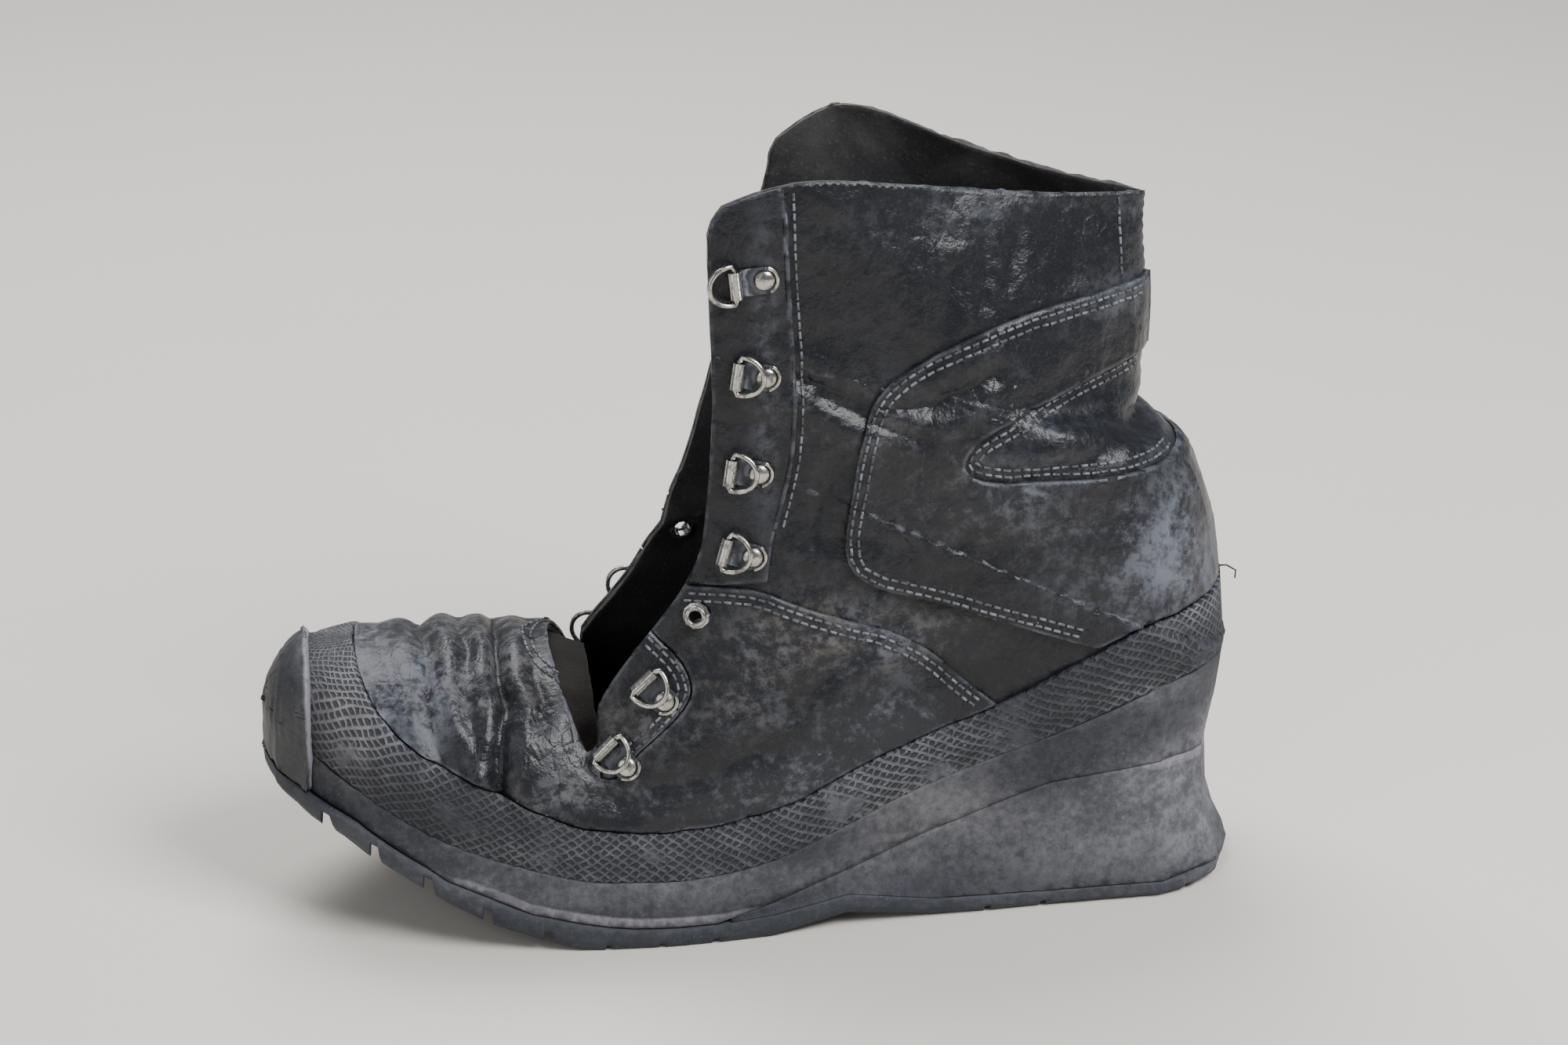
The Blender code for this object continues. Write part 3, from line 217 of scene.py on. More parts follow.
# Dust and dirt in side view, with a painted sheen in some rows, in metres: x, z, width, height, how much,
# share that is brown, side
DUST_AND_SHEEN = [
    (-0.021, 0.119, 0.016, 0.020, 0.95, 0.0, 0), (-0.001, 0.108, 0.024, 0.014, 0.55, 0.0, 0),
    (0.046, 0.140, 0.022, 0.010, 0.50, 0.3, 0), (0.020, 0.128, 0.030, 0.010, 0.30, 0.2, 0),
    (0.096, 0.098, 0.022, 0.010, 0.60, 0.9, 1), (0.068, 0.094, 0.022, 0.009, 0.55, 0.7, 1),
    (0.116, 0.080, 0.014, 0.012, 0.40, 0.8, 1), (0.150, 0.072, 0.016, 0.010, 0.40, 0.9, 0),
    (0.226, 0.080, 0.012, 0.022, 0.95, 0.1, 0), (0.209, 0.074, 0.004, 0.016, 0.95, 0.3, 0),
    (0.190, 0.082, 0.018, 0.010, 0.55, 0.9, 0), (0.168, 0.052, 0.020, 0.006, 0.50, 0.7, 0),
    # The row at x 0.000, z 0.189 is a painted sheen by the shaft's band.
    (-0.012, 0.222, 0.010, 0.016, 0.45, 0.1, 0), (0.000, 0.189, 0.016, 0.008, 0.40, 0.0, 0),
    (0.040, 0.222, 0.034, 0.008, 0.30, 0.1, 0), (0.078, 0.160, 0.020, 0.012, 0.35, 0.5, 1),
    # The row at x 0.112, z 0.045 is dust with a painted sheen along the top of the rand.
    (0.112, 0.045, 0.040, 0.006, 0.55, 0.0, 0), (0.108, 0.180, 0.004, 0.050, 0.35, 0.2, 1),
    (-0.034, 0.028, 0.014, 0.022, 1.00, 0.0, 0), (0.000, 0.022, 0.034, 0.014, 0.55, 0.2, 0),
    (0.055, 0.034, 0.026, 0.012, 0.60, 0.4, 0), (0.120, 0.020, 0.050, 0.007, 0.45, 0.1, 0),
    (0.190, 0.022, 0.030, 0.006, 0.35, 0.0, 0), (-0.006, 0.070, 0.020, 0.007, 0.40, 0.1, 0),
    (0.236, 0.070, 0.010, 0.014, 0.50, 0.8, 0), (0.150, 0.034, 0.060, 0.005, 0.40, 0.1, 0),
    # These two rows above the rand are a painted sheen band.
    (0.074, 0.068, 0.018, 0.010, 0.75, 0.0, 0), (0.098, 0.054, 0.020, 0.007, 0.65, 0.0, 0),
    (-0.014, 0.040, 0.020, 0.012, 0.70, 0.0, 0), (-0.038, 0.052, 0.008, 0.012, 0.60, 0.0, 0),
    (-0.030, 0.098, 0.010, 0.010, 0.50, 0.0, 0), (0.060, 0.058, 0.026, 0.010, 0.35, 0.0, 0),
]

# Creases in side view: a line, how deep and how wide it is in metres, and which sides it marks
CREASES = [
    ([(0.210, 0.084), (0.209, 0.070), (0.205, 0.058)], 0.0019, 0.0042, 0),
    ([(0.196, 0.088), (0.197, 0.074), (0.195, 0.060)], 0.0012, 0.0036, 0),
    ([(0.186, 0.088), (0.188, 0.072), (0.189, 0.056), (0.187, 0.043)], 0.0026, 0.0036, 0),
    ([(0.222, 0.085), (0.223, 0.074)], 0.0008, 0.0040, 0),
    ([(0.176, 0.082), (0.176, 0.070)], 0.0008, 0.0040, 0),
    ([(0.203, 0.064), (0.199, 0.054), (0.194, 0.050)], 0.0010, 0.0028, 1),
    ([(-0.010, 0.152), (0.008, 0.147), (0.030, 0.141)], 0.0012, 0.0040, 0),
    ([(0.040, 0.174), (0.058, 0.166), (0.078, 0.168), (0.098, 0.176)], 0.0017, 0.0040, 1),
    ([(0.060, 0.157), (0.078, 0.163), (0.090, 0.170)], 0.0012, 0.0032, 1),
    ([(0.084, 0.150), (0.092, 0.140), (0.094, 0.126)], 0.0012, 0.0038, 0),
    ([(0.052, 0.205), (0.058, 0.188), (0.062, 0.176)], 0.0008, 0.0036, 0),
    ([(0.030, 0.215), (0.034, 0.200)], 0.0005, 0.0034, 0),
    ([(0.040, 0.218), (0.045, 0.196)], 0.0005, 0.0034, 0),
    ([(0.108, 0.062), (0.124, 0.056), (0.142, 0.053), (0.160, 0.050)], 0.0014, 0.0050, 0),
    ([(0.070, 0.100), (0.084, 0.088), (0.096, 0.080)], 0.0010, 0.0050, 0),
    ([(0.112, 0.096), (0.108, 0.084), (0.100, 0.074)], 0.0009, 0.0040, 0),
    ([(0.090, 0.190), (0.124, 0.184)], 0.0024, 0.0060, -1),
    ([(0.086, 0.160), (0.124, 0.156)], 0.0026, 0.0060, -1),
    ([(0.092, 0.132), (0.136, 0.128)], 0.0030, 0.0060, -1),
    ([(0.104, 0.110), (0.146, 0.104)], 0.0026, 0.0060, -1),
    ([(0.108, 0.192), (0.124, 0.190)], 0.0010, 0.0050, 1),
    ([(0.106, 0.162), (0.124, 0.164)], 0.0010, 0.0050, 1),
    ([(0.000, 0.128), (0.024, 0.120), (0.050, 0.124)], 0.0007, 0.0060, 0),
]
# Swells of the leather in side view, in metres: x, z, width, height, rise
SWELLS = [
    (0.014, 0.152, 0.030, 0.010, 0.0016),
    (0.170, 0.062, 0.020, 0.016, 0.0012),
    (0.130, 0.075, 0.022, 0.014, 0.0009),
    (0.204, 0.080, 0.005, 0.016, 0.0010),
    (0.191, 0.082, 0.004, 0.016, 0.0010),
]


def length_property(name, description, default):
    return FloatProperty(name=name, description=description, default=default, unit="LENGTH")


def colour_property(name, description, default):
    return FloatVectorProperty(name=name, description=description, subtype="COLOR", size=3, default=default)


class BootSizes(bpy.types.PropertyGroup):
    """Sizes of the small work on the boot."""

    crease_strength: FloatProperty(
        name="Crease strength", description="Depth of the leather's creases", default=1.0, min=0.0, max=1.5)
    stitch_pitch: length_property("Stitch pitch", "Distance from stitch to stitch", 0.0030)
    stitch_width: length_property("Stitch width", "Width of the thread", 0.00095)
    wire: length_property("Ring wire", "Diameter of the rings' wire", 0.0016)
    ring_height: length_property("Ring height", "Height of a ring along its bar", 0.0133)
    ring_depth: length_property("Ring depth", "From the bar to the bow", 0.0080)
    pit_pitch: length_property("Pit pitch", "Distance between the rand's pits", 0.0019)


class BootColours(bpy.types.PropertyGroup):
    """Colours of the boot."""

    leather: colour_property("Leather", "Clean leather", (0.0050, 0.0058, 0.0086))
    # This colour is also the painted sheen over the leather.
    dust: colour_property("Dust", "Dust over the leather", (0.215, 0.235, 0.285))
    sole_dust: colour_property("Sole dust", "Dust over the rubber", (0.275, 0.280, 0.312))
    soil: colour_property("Soil", "Brown dirt near the throat", (0.105, 0.090, 0.075))
    rubber: colour_property("Rubber", "Rubber of the band", (0.015, 0.017, 0.023))
    suede: colour_property("Suede", "Raw inner face of the leather", (0.016, 0.016, 0.018))
    nickel: colour_property("Nickel", "Rings and clips", (0.46, 0.45, 0.42))
    floor: colour_property("Floor", "Plain pale floor", (0.66, 0.62, 0.57))


# Shapes that follow the last


def table_at(rows, station, column=1):
    """A table's column at a station, eased between its rows."""
    if station <= rows[0][0]:
        return rows[0][column]
    for low, high in zip(rows, rows[1:]):
        if station <= high[0]:
            share = (station - low[0]) / (high[0] - low[0])
            share = share * share * (3 - 2 * share) * 0.35 + share * 0.65
            return low[column] + (high[column] - low[column]) * share
    return rows[-1][column]


def rounding(share, power):
    share = min(max(share, 0.0), 1.0)
    return (1 - (1 - share) ** power) ** (1 / power)


def toe_closing(station):
    return rounding((TOE_TIP - station) / (TOE_TIP - TOE_ROUND), 2.0)


def half_breadth(station, side):
    heel = rounding((station - HEEL_BACK) / (HEEL_ROUND - HEEL_BACK), 2.2)
    return table_at(PLAN, station, 1 if side > 0 else 2) * BALL_BREADTH / 2 * heel * toe_closing(station)


def x_at(station):
    return station * LENGTH - HEEL_SEAT


def wall_share(even, index):
    lean = min(max((index - THROAT_SPOKE) / (HEEL_SPOKE - THROAT_SPOKE), 0.0), 1.0)
    vamp = 0.5 * even + 0.5 * (1 - cos(pi * even)) / 2
    fold = max(index - HEEL_SPOKE, 0) / (len(SPOKES) - 1 - HEEL_SPOKE)
    return vamp * (1 - lean) + even ** (1.8 - 0.5 * fold) * lean


def spoke_point(index, row, side):
    """A point of the leather's outer face, a share of the way along a section."""
    back, rise, out_x, out_z, in_x, in_z, full_out, full_in, end_out, end_in, *bend = SPOKES[index]
    foot_at, foot_power, crest_at, crest = bend
    front_x, front_z = (out_x, out_z) if side > 0 else (in_x, in_z)
    front_z *= SHAFT_HEIGHT
    foot = 0.0
    foot_z = (table_at(FEATHER, back) + rise) * SHAFT_HEIGHT + CLEAR
    if index <= HEEL_SPOKE:
        foot = half_breadth(back, side)
        foot_z += FOOT_STRIP if row else 0.0
    share = wall_share(max(row - 1, 0) / (WALL_ROWS - 1), index)
    x = back + (front_x - back) * share
    z = foot_z + (front_z - foot_z) * share
    fade = len(SPOKES) - 1 - index
    if fade < COLLAR_FADE:
        z += table_at(COLLAR, share, 1 if side > 0 else 2) * SHAFT_HEIGHT * (1 - fade / COLLAR_FADE) ** 1.5
    full = (full_out if side > 0 else full_in) * BALL_BREADTH / 2 * toe_closing(back)
    end = (end_out if side > 0 else end_in) * BALL_BREADTH / 2 if index > THROAT_SPOKE else 0.0
    side_y = foot + (full - foot) * rounding(share / foot_at, foot_power)
    cut = min(end / full, 0.999) if full > 0 else 0.0
    used = 1 - (1 - (1 - cut ** crest) ** (1 / crest)) * (1 - crest_at)
    return Vector((x_at(x), side * side_y * rounding((1 - used * share) / (1 - crest_at), crest), z))


def last_cage():
    """The leather's outer face as an open cage of quads."""
    cage = bmesh.new()
    for side in (1, -1):
        grid = [[cage.verts.new(spoke_point(index, row, side)) for row in range(WALL_ROWS + 1)]
                for index in range(len(SPOKES))]
        for low, high in zip(grid, grid[1:]):
            for row in range(WALL_ROWS):
                corners = [low[row], high[row], high[row + 1], low[row + 1]]
                if max(abs(vert.co.y) for vert in corners) > CLEAR / 10:
                    cage.faces.new(corners if side > 0 else corners[::-1])
    bmesh.ops.remove_doubles(cage, verts=cage.verts, dist=CLEAR / 10)
    mesh = bpy.data.meshes.new("last_cage")
    cage.to_mesh(mesh)
    cage.free()
    return mesh


def points_of(mesh):
    flat = np.empty(len(mesh.vertices) * 3)
    mesh.vertices.foreach_get("co", flat)
    return flat.reshape(-1, 3)


def put_points(mesh, points):
    mesh.vertices.foreach_set("co", np.ascontiguousarray(points).ravel())
    mesh.update()


def linked(name, data):
    """A new object in the scene."""
    piece = bpy.data.objects.new(name, data)
    bpy.context.scene.collection.objects.link(piece)
    return piece


def final_mesh(holder):
    """The mesh that an object's curve or modifiers make. The object itself goes."""
    made = bpy.data.meshes.new_from_object(holder.evaluated_get(bpy.context.evaluated_depsgraph_get()))
    bpy.data.objects.remove(holder, do_unlink=True)
    return made


def subdivided(mesh, kind, levels):
    """A subdivided copy of a mesh."""
    holder = linked("subdivide", mesh)
    step = holder.modifiers.new("Smooth", "SUBSURF")
    step.subdivision_type = kind
    step.levels = levels
    step.render_levels = levels
    return final_mesh(holder)


class Last:
    """The smooth surface under all the leather: how far it lies off the cage, and which way it faces."""

    def __init__(self):
        cage = last_cage()
        corners = points_of(cage)
        plain = subdivided(cage, "SIMPLE", 2)
        for _ in range(2):
            limit = points_of(subdivided(cage, "CATMULL_CLARK", 2))[:len(corners)]
            put_points(cage, points_of(cage) + (corners - limit))
        smooth = subdivided(cage, "CATMULL_CLARK", 2)
        self.plain = points_of(plain)
        self.shift = points_of(smooth) - self.plain
        facing = np.empty(len(smooth.vertices) * 3)
        smooth.vertices.foreach_get("normal", facing)
        self.facing = facing.reshape(-1, 3)
        self.tree = KDTree(len(self.plain))
        for index, point in enumerate(self.plain):
            self.tree.insert(point, index)
        self.tree.balance()

    def read(self, points):
        """Shift and facing near each point, from the four nearest places."""
        shift = np.empty_like(points)
        facing = np.empty_like(points)
        for number, point in enumerate(points):
            near = self.tree.find_n(point, 4)
            weights = np.array([1 / (distance * distance + 1e-7) for _, _, distance in near])
            indices = [index for _, index, _ in near]
            weights /= weights.sum()
            shift[number] = weights @ self.shift[indices]
            facing[number] = weights @ self.facing[indices]
        facing /= np.maximum(np.linalg.norm(facing, axis=1), 1e-9)[:, None]
        return shift, facing


def line_distance(points, line):
    """Distance in side view from each point to a line of (x, z) corners."""
    flat = points[:, [0, 2]]
    best = np.full(len(flat), 1.0)
    for start, end in zip(line, line[1:]):
        start, end = np.array(start), np.array(end)
        run = end - start
        share = np.clip((flat - start) @ run / (run @ run), 0.0, 1.0)
        best = np.minimum(best, np.linalg.norm(flat - start - share[:, None] * run, axis=1))
    return best


def lace_keep(points):
    """0 beside the lace places, where the leather stays flat, and 1 away from them."""
    keep = np.ones(len(points))
    for joint in frame["joints"]:
        gap = np.linalg.norm(points - np.array(joint["pos_m"]), axis=1)
        keep = np.minimum(keep, np.clip((gap - 0.010) / 0.010, 0.0, 1.0))
    return keep


def noise_at(points, scale, shift, roughness, octaves):
    """Fractal noise at each point."""
    shift = Vector(shift)
    return np.array([fractal(Vector(point) * scale + shift, roughness, 2.0, octaves) for point in points])


def spot(points, x, z, wide, high):
    """1 at a place in side view, fading out round it."""
    return np.exp(-((points[:, 0] - x) / wide) ** 2 - ((points[:, 2] - z) / high) ** 2)


def on_side(mark, points, side, least):
    """A mark faded out beyond the middle plane, where it belongs to one side."""
    return mark * np.clip(points[:, 1] * side / MIDDLE_FADE, least, 1.0) if side else mark


def crease_depth(points):
    """How far the worn leather lies out of, or in from, its smooth surface."""
    depth = np.zeros(len(points))
    bend = noise_at(points, 38, (3.1, 0, 0), 1.0, 2)
    fade = noise_at(points, 30, (0, 7.7, 0), 1.0, 2)
    moved = points + bend[:, None] * np.array([0.0032, 0.0, 0.0016])
    for line, deep, wide, side in CREASES:
        gap = line_distance(moved, line)
        mark = np.exp(-(gap / (0.62 * wide)) ** 1.35) - 0.36 * np.exp(-((gap - 1.7 * wide) / wide) ** 2)
        depth -= deep * on_side(mark, points, side, 0.0) * np.clip(1.0 + 1.1 * fade, 0.25, 1.6)
    for x, z, wide, high, rise in SWELLS:
        depth += rise * spot(points, x, z, wide, high)
    lumps = noise_at(points, 55, (0, 0, 0), 0.9, 3)
    fine = noise_at(points * np.array([160, 160, 90]), 1, (0, 0, 0), 0.9, 2)
    depth += lumps * 0.0006 + fine * 0.00016
    foot = np.array([table_at(FEATHER, (x + HEEL_SEAT) / LENGTH) * SHAFT_HEIGHT for x in points[:, 0]])
    settle = np.clip((points[:, 2] - foot - 0.006) / 0.012, 0.12, 1.0)
    strength = bpy.context.scene.boot_sizes.crease_strength
    return depth * settle * lace_keep(points) * strength


LAST = Last()


def fine_copy(node, longest):
    """A node's mesh as a merged copy with no edge longer than asked."""
    name = "boot_" + node
    mesh = NODES[node].data.copy()
    mesh.materials.clear()
    cut = bmesh.new()
    cut.from_mesh(mesh)
    bmesh.ops.remove_doubles(cut, verts=cut.verts, dist=2e-6)
    bmesh.ops.dissolve_degenerate(cut, dist=1e-6, edges=cut.edges)
    for _ in range(9):
        long_edges = [edge for edge in cut.edges if edge.calc_length() > longest]
        if not long_edges:
            break
        bmesh.ops.subdivide_edges(cut, edges=long_edges, cuts=1)
        bmesh.ops.triangulate(cut, faces=[face for face in cut.faces if len(face.verts) > 3])
    cut.to_mesh(mesh)
    cut.free()
    mesh.name = name
    return linked(name, mesh)


def paint(mesh, name, values):
    """Keeps one number a vertex for the finishes to read."""
    layer = mesh.attributes.new(name, "FLOAT", "POINT")
    layer.data.foreach_set("value", np.ascontiguousarray(values, dtype=np.float32))


def wrap_map(mesh):
    """A map with the way round the boot across and the way up the band, in metres."""
    steps = 160
    ring = KDTree(2 * steps)
    marks = []
    for side in (1, -1):
        run = 0.0
        before = None
        for step in range(steps):
            station = HEEL_BACK + (TOE_TIP - HEEL_BACK) * (1 - cos(pi * step / (steps - 1))) / 2
            here = Vector((x_at(station), side * half_breadth(station, side), 0.0))
            run += (here - before).length if before else 0.0
            before = here
            ring.insert(here, len(marks))
            marks.append((run, table_at(FEATHER, station) * SHAFT_HEIGHT))
    ring.balance()
    places = []
    for vert in mesh.vertices:
        near = ring.find_n(Vector((vert.co.x, vert.co.y, 0.0)), 3)
        weights = [1 / (distance * distance + 1e-7) for _, _, distance in near]
        total = sum(weights)
        run, foot = (sum(weight * marks[index][part] for weight, (_, index, _) in zip(weights, near)) / total
                     for part in (0, 1))
        inward = max(near[0][2] - 0.003, 0.0) if vert.co.z > foot else 0.0
        places.append((run, vert.co.z - foot + inward))
    layer = mesh.uv_layers.new(name="wrap")
    for loop in mesh.loops:
        layer.data[loop.index].uv = places[loop.vertex_index]


def paint_dust_and_sheen(mesh):
    """Paints how much dust and painted sheen, and how much brown dirt, lies on each place."""
    points = points_of(mesh)
    dust, soil = np.zeros(len(points)), np.zeros(len(points))
    for x, z, wide, high, much, brown, side in DUST_AND_SHEEN:
        mark = on_side(much * spot(points, x, z, wide, high), points, side, 0.15)
        dust += mark
        soil += mark * brown
    paint(mesh, "dust", dust)
    paint(mesh, "soil", soil)


def edge_distance(mesh, rim):
    """Paints the distance to the nearest face of the sheet's rim."""
    tree = KDTree(len(rim))
    for index in rim:
        tree.insert(mesh.vertices[index].co, index)
    tree.balance()
    paint(mesh, "edge", [tree.find(vert.co)[2] if rim else 0.02 for vert in mesh.vertices])


def level_from(mesh, node):
    """Paints the distance to another layer of the sole."""
    other = NODES[node].data
    corners = [vert.co for vert in other.vertices]
    tree = BVHTree.FromPolygons(corners, [face.vertices for face in other.polygons])
    paint(mesh, "level", [tree.find_nearest(vert.co)[3] for vert in mesh.vertices])


def smoothed(mesh, degrees):
    """Smooth shading, with the edges that turn by more than an angle left sharp."""
    mesh.shade_smooth()
    mesh.set_sharp_from_angle(angle=radians(degrees))
    return mesh


def boot_piece(piece, node=None):
    """A piece that rides with the boot, in the place of a node where one is named."""
    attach(piece, "boot")
    if node:
        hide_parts(node)
    return piece


def leather_piece(node, looks, longest=PIECE_EDGE, creased=1.0, lift=None, ragged=None):
    """A leather or rubber sheet that follows the smooth, creased surface.

    The looks are for its outer face, its inner face and its rim, which is ragged where asked.
    """
    piece = fine_copy(node, longest)
    mesh = piece.data
    points = points_of(mesh)
    shift, facing = LAST.read(points)
    points = points + shift
    depth = crease_depth(points) * creased
    if lift:
        depth = depth + lift(points)
    put_points(mesh, points + facing * depth[:, None])
    paint(mesh, "fold", depth * 1000)
    use(piece, *looks)
    rim, outer = set(), set()
    for face in mesh.polygons:
        out = face.normal.dot(Vector(facing[list(face.vertices)].mean(axis=0)).normalized())
        kind = 0 if out > FACE_TURN or face.area < TINY_FACE else 1 if out < -FACE_TURN else 2
        face.material_index = min(kind, len(looks) - 1)
        if kind == 2:
            rim.update(face.vertices)
        if kind == 0:
            outer.update(face.vertices)
    rim = sorted(rim & outer)
    edge_distance(mesh, rim)
    paint_dust_and_sheen(mesh)
    for index in rim if ragged else ():
        place = mesh.vertices[index].co
        place += Vector(ragged) * (fractal(place * 230, 0.8, 2.0, 3) * 2)
    smoothed(mesh, 42)
    return boot_piece(piece, node)


def sole_piece(node, look, other):
    """A layer of the sole with its outline rounded the same way, its heights kept."""
    piece = fine_copy(node, SOLE_EDGE)
    mesh = piece.data
    points = points_of(mesh)
    shift, _ = LAST.read(points)
    shift[:, 2] = 0.0
    put_points(mesh, points + shift)
    paint_dust_and_sheen(mesh)
    level_from(mesh, other)
    smoothed(mesh, 35)
    use(piece, look)
    return boot_piece(piece, node)


# Finishes


class Tap:
    """A shader socket that adds Math nodes when it is used in an expression."""

    def __init__(self, tree, socket):
        self.tree = tree
        self.socket = socket

    def math(self, operation, *values):
        return add_node(self.tree, "ShaderNodeMath", {"operation": operation}, values)

    def __add__(self, other):
        return self.math("ADD", self, other)

    __radd__ = __add__

    def __sub__(self, other):
        return self.math("SUBTRACT", self, other)

    def __rsub__(self, other):
        return self.math("SUBTRACT", other, self)

    def __mul__(self, other):
        return self.math("MULTIPLY", self, other)

    __rmul__ = __mul__

    def __truediv__(self, other):
        return self.math("DIVIDE", self, other)

    def clamp(self):
        return self.math("MINIMUM", self.math("MAXIMUM", self, 0.0), 1.0)


def add_node(tree, kind, settings=None, values=(), output=0):
    """Adds a node: its settings first, then its sockets' values or links."""
    made = tree.nodes.new(kind)
    for key, value in (settings or {}).items():
        setattr(made, key, value)
    pairs = values.items() if isinstance(values, dict) else enumerate(values)
    for slot, value in pairs:
        if isinstance(value, Tap):
            tree.links.new(value.socket, made.inputs[slot])
        else:
            made.inputs[slot].default_value = value
    return Tap(tree, made.outputs[output])


class Finish:
    """A material with a principled shader, and the patterns that worn leather and rubber share."""

    def __init__(self, name):
        self.material = bpy.data.materials.new(name)
        self.material.use_nodes = True
        self.tree = self.material.node_tree
        self.shader = self.tree.nodes["Principled BSDF"]
        self.place = add_node(self.tree, "ShaderNodeTexCoord", output="Object")

    def stretched(self, scale):
        return add_node(self.tree, "ShaderNodeMapping", {}, {"Vector": self.place, "Scale": scale})

    def noise(self, scale, detail=4.0, rough=0.55, place=None):
        return add_node(self.tree, "ShaderNodeTexNoise", {}, {
            "Vector": place or self.place, "Scale": scale, "Detail": detail, "Roughness": rough})

    def cells(self, scale, feature="F1", place=None):
        return add_node(self.tree, "ShaderNodeTexVoronoi", {"feature": feature}, {
            "Vector": place or self.place, "Scale": scale})

    def band(self, value, low, high):
        """0 below low and 1 above high, smooth between."""
        settings = {"interpolation_type": "SMOOTHSTEP"}
        return add_node(self.tree, "ShaderNodeMapRange", settings, [value, low, high, 0.0, 1.0])

    def blend(self, share, first, second):
        def solid(colour):
            return colour if isinstance(colour, Tap) else (*colour, 1.0)
        values = {0: share, 6: solid(first), 7: solid(second)}
        return add_node(self.tree, "ShaderNodeMix", {"data_type": "RGBA"}, values, 2)

    def painted(self, name):
        return add_node(self.tree, "ShaderNodeAttribute", {"attribute_name": name}, output="Fac")

    def axis(self, which):
        return add_node(self.tree, "ShaderNodeSeparateXYZ", {}, [self.place], output=which)

    def link(self, name, value):
        socket = self.shader.inputs[name]
        if isinstance(value, Tap):
            self.tree.links.new(value.socket, socket)
        else:
            socket.default_value = value

    def bump(self, height, strength, distance, under=None):
        values = {"Height": height, "Strength": strength, "Distance": distance}
        if under is not None:
            values["Normal"] = under
        return add_node(self.tree, "ShaderNodeBump", {}, values)


def leather_finish(name, dusty=1.0):
    """Blue-black leather with grain, dust and painted sheen in patches, pale rubbed folds, painted shade in
    the crease hollows, worn edges with a painted highlight, and scratches.
    """
    colours = bpy.context.scene.boot_colours
    made = Finish(name)
    fold, dust, soil, edge = (made.painted(part) for part in ("fold", "dust", "soil", "edge"))
    cloud = made.noise(30.0, 6.0, 0.6)
    fine = made.noise(260.0, 6.0, 0.74)
    speck = made.noise(1000.0, 3.0, 0.7)
    streak = made.noise(110.0, 6.0, 0.7, made.stretched((0.45, 1.0, 1.4)))
    rubbed = made.band(fold, 0.15, 1.1) * made.band(streak * 0.5 + fine * 0.5, 0.46, 0.60)
    mottle = made.band(cloud * 0.45 + fine * 0.55, 0.46, 0.61)
    # Patches of dust, and of painted sheen where the table puts it.
    patch = (dust * dusty).clamp() * (0.12 + mottle * 0.88)
    # Pale lines along each panel's rim: worn edges, and also a painted highlight on the raised edges.
    worn_edge_and_highlight = made.band(edge, 0.0014, 0.0002) * made.band(streak, 0.40, 0.60)
    haze = patch * 0.50 + mottle * 0.020 + made.band(speck, 0.56, 0.70) * 0.040 + rubbed * 0.06
    haze = (haze + worn_edge_and_highlight * 0.22).clamp()
    colour = made.blend(haze, colours.leather, colours.dust)
    brown = (soil * 1.2).clamp() * made.band(fine * 0.6 + streak * 0.4, 0.45, 0.60) * 0.75
    colour = made.blend(brown.clamp(), colour, colours.soil)
    # Painted shade: the leather darkens towards near-black in the crease hollows.
    crease_shade = made.band(fold * -1.0, 0.5, 1.8)
    colour = made.blend(crease_shade * 0.7, colour, (0.004, 0.005, 0.007))
    made.link("Base Color", colour)
    made.link("Roughness", (0.30 + haze * 0.60 + brown * 0.3 + fine * 0.08).clamp())
    wrinkle = made.cells(210.0, "DISTANCE_TO_EDGE", made.stretched((1.0, 1.0, 0.55)))
    wrinkle = made.band(wrinkle, 0.0, 0.14) * made.band(made.noise(40.0, 3.0, 0.5), 0.40, 0.65)
    grain = made.cells(1400.0)
    pores = made.bump(grain * 0.5 + speck * 0.6, 0.28, 0.00020)
    middle = made.bump(wrinkle, 0.30, 0.00035, pores)
    made.link("Normal", made.bump(made.noise(85.0, 5.0, 0.62), 0.75, 0.0016, middle))
    made.link("Sheen Weight", 0.03)
    made.link("Specular IOR Level", 0.34)
    return made.material


def suede_finish(name="suede", base=None, pale=(0.055, 0.053, 0.053)):
    made = Finish(name)
    nap = made.noise(900.0, 4.0, 0.7)
    cloud = made.noise(34.0, 6.0, 0.62)
    base = base or bpy.context.scene.boot_colours.suede
    colour = made.blend(made.band(cloud, 0.42, 0.70) * 0.6, base, pale)
    light = tuple(part * 1.8 for part in pale)
    made.link("Base Color", made.blend(made.band(nap, 0.55, 0.7) * 0.35, colour, light))
    made.link("Roughness", 0.95)
    made.link("Sheen Weight", 0.06)
    made.link("Specular IOR Level", 0.2)
    made.link("Normal", made.bump(made.noise(70.0, 5.0, 0.6), 0.6, 0.0016, made.bump(nap, 0.7, 0.0006)))
    return made.material


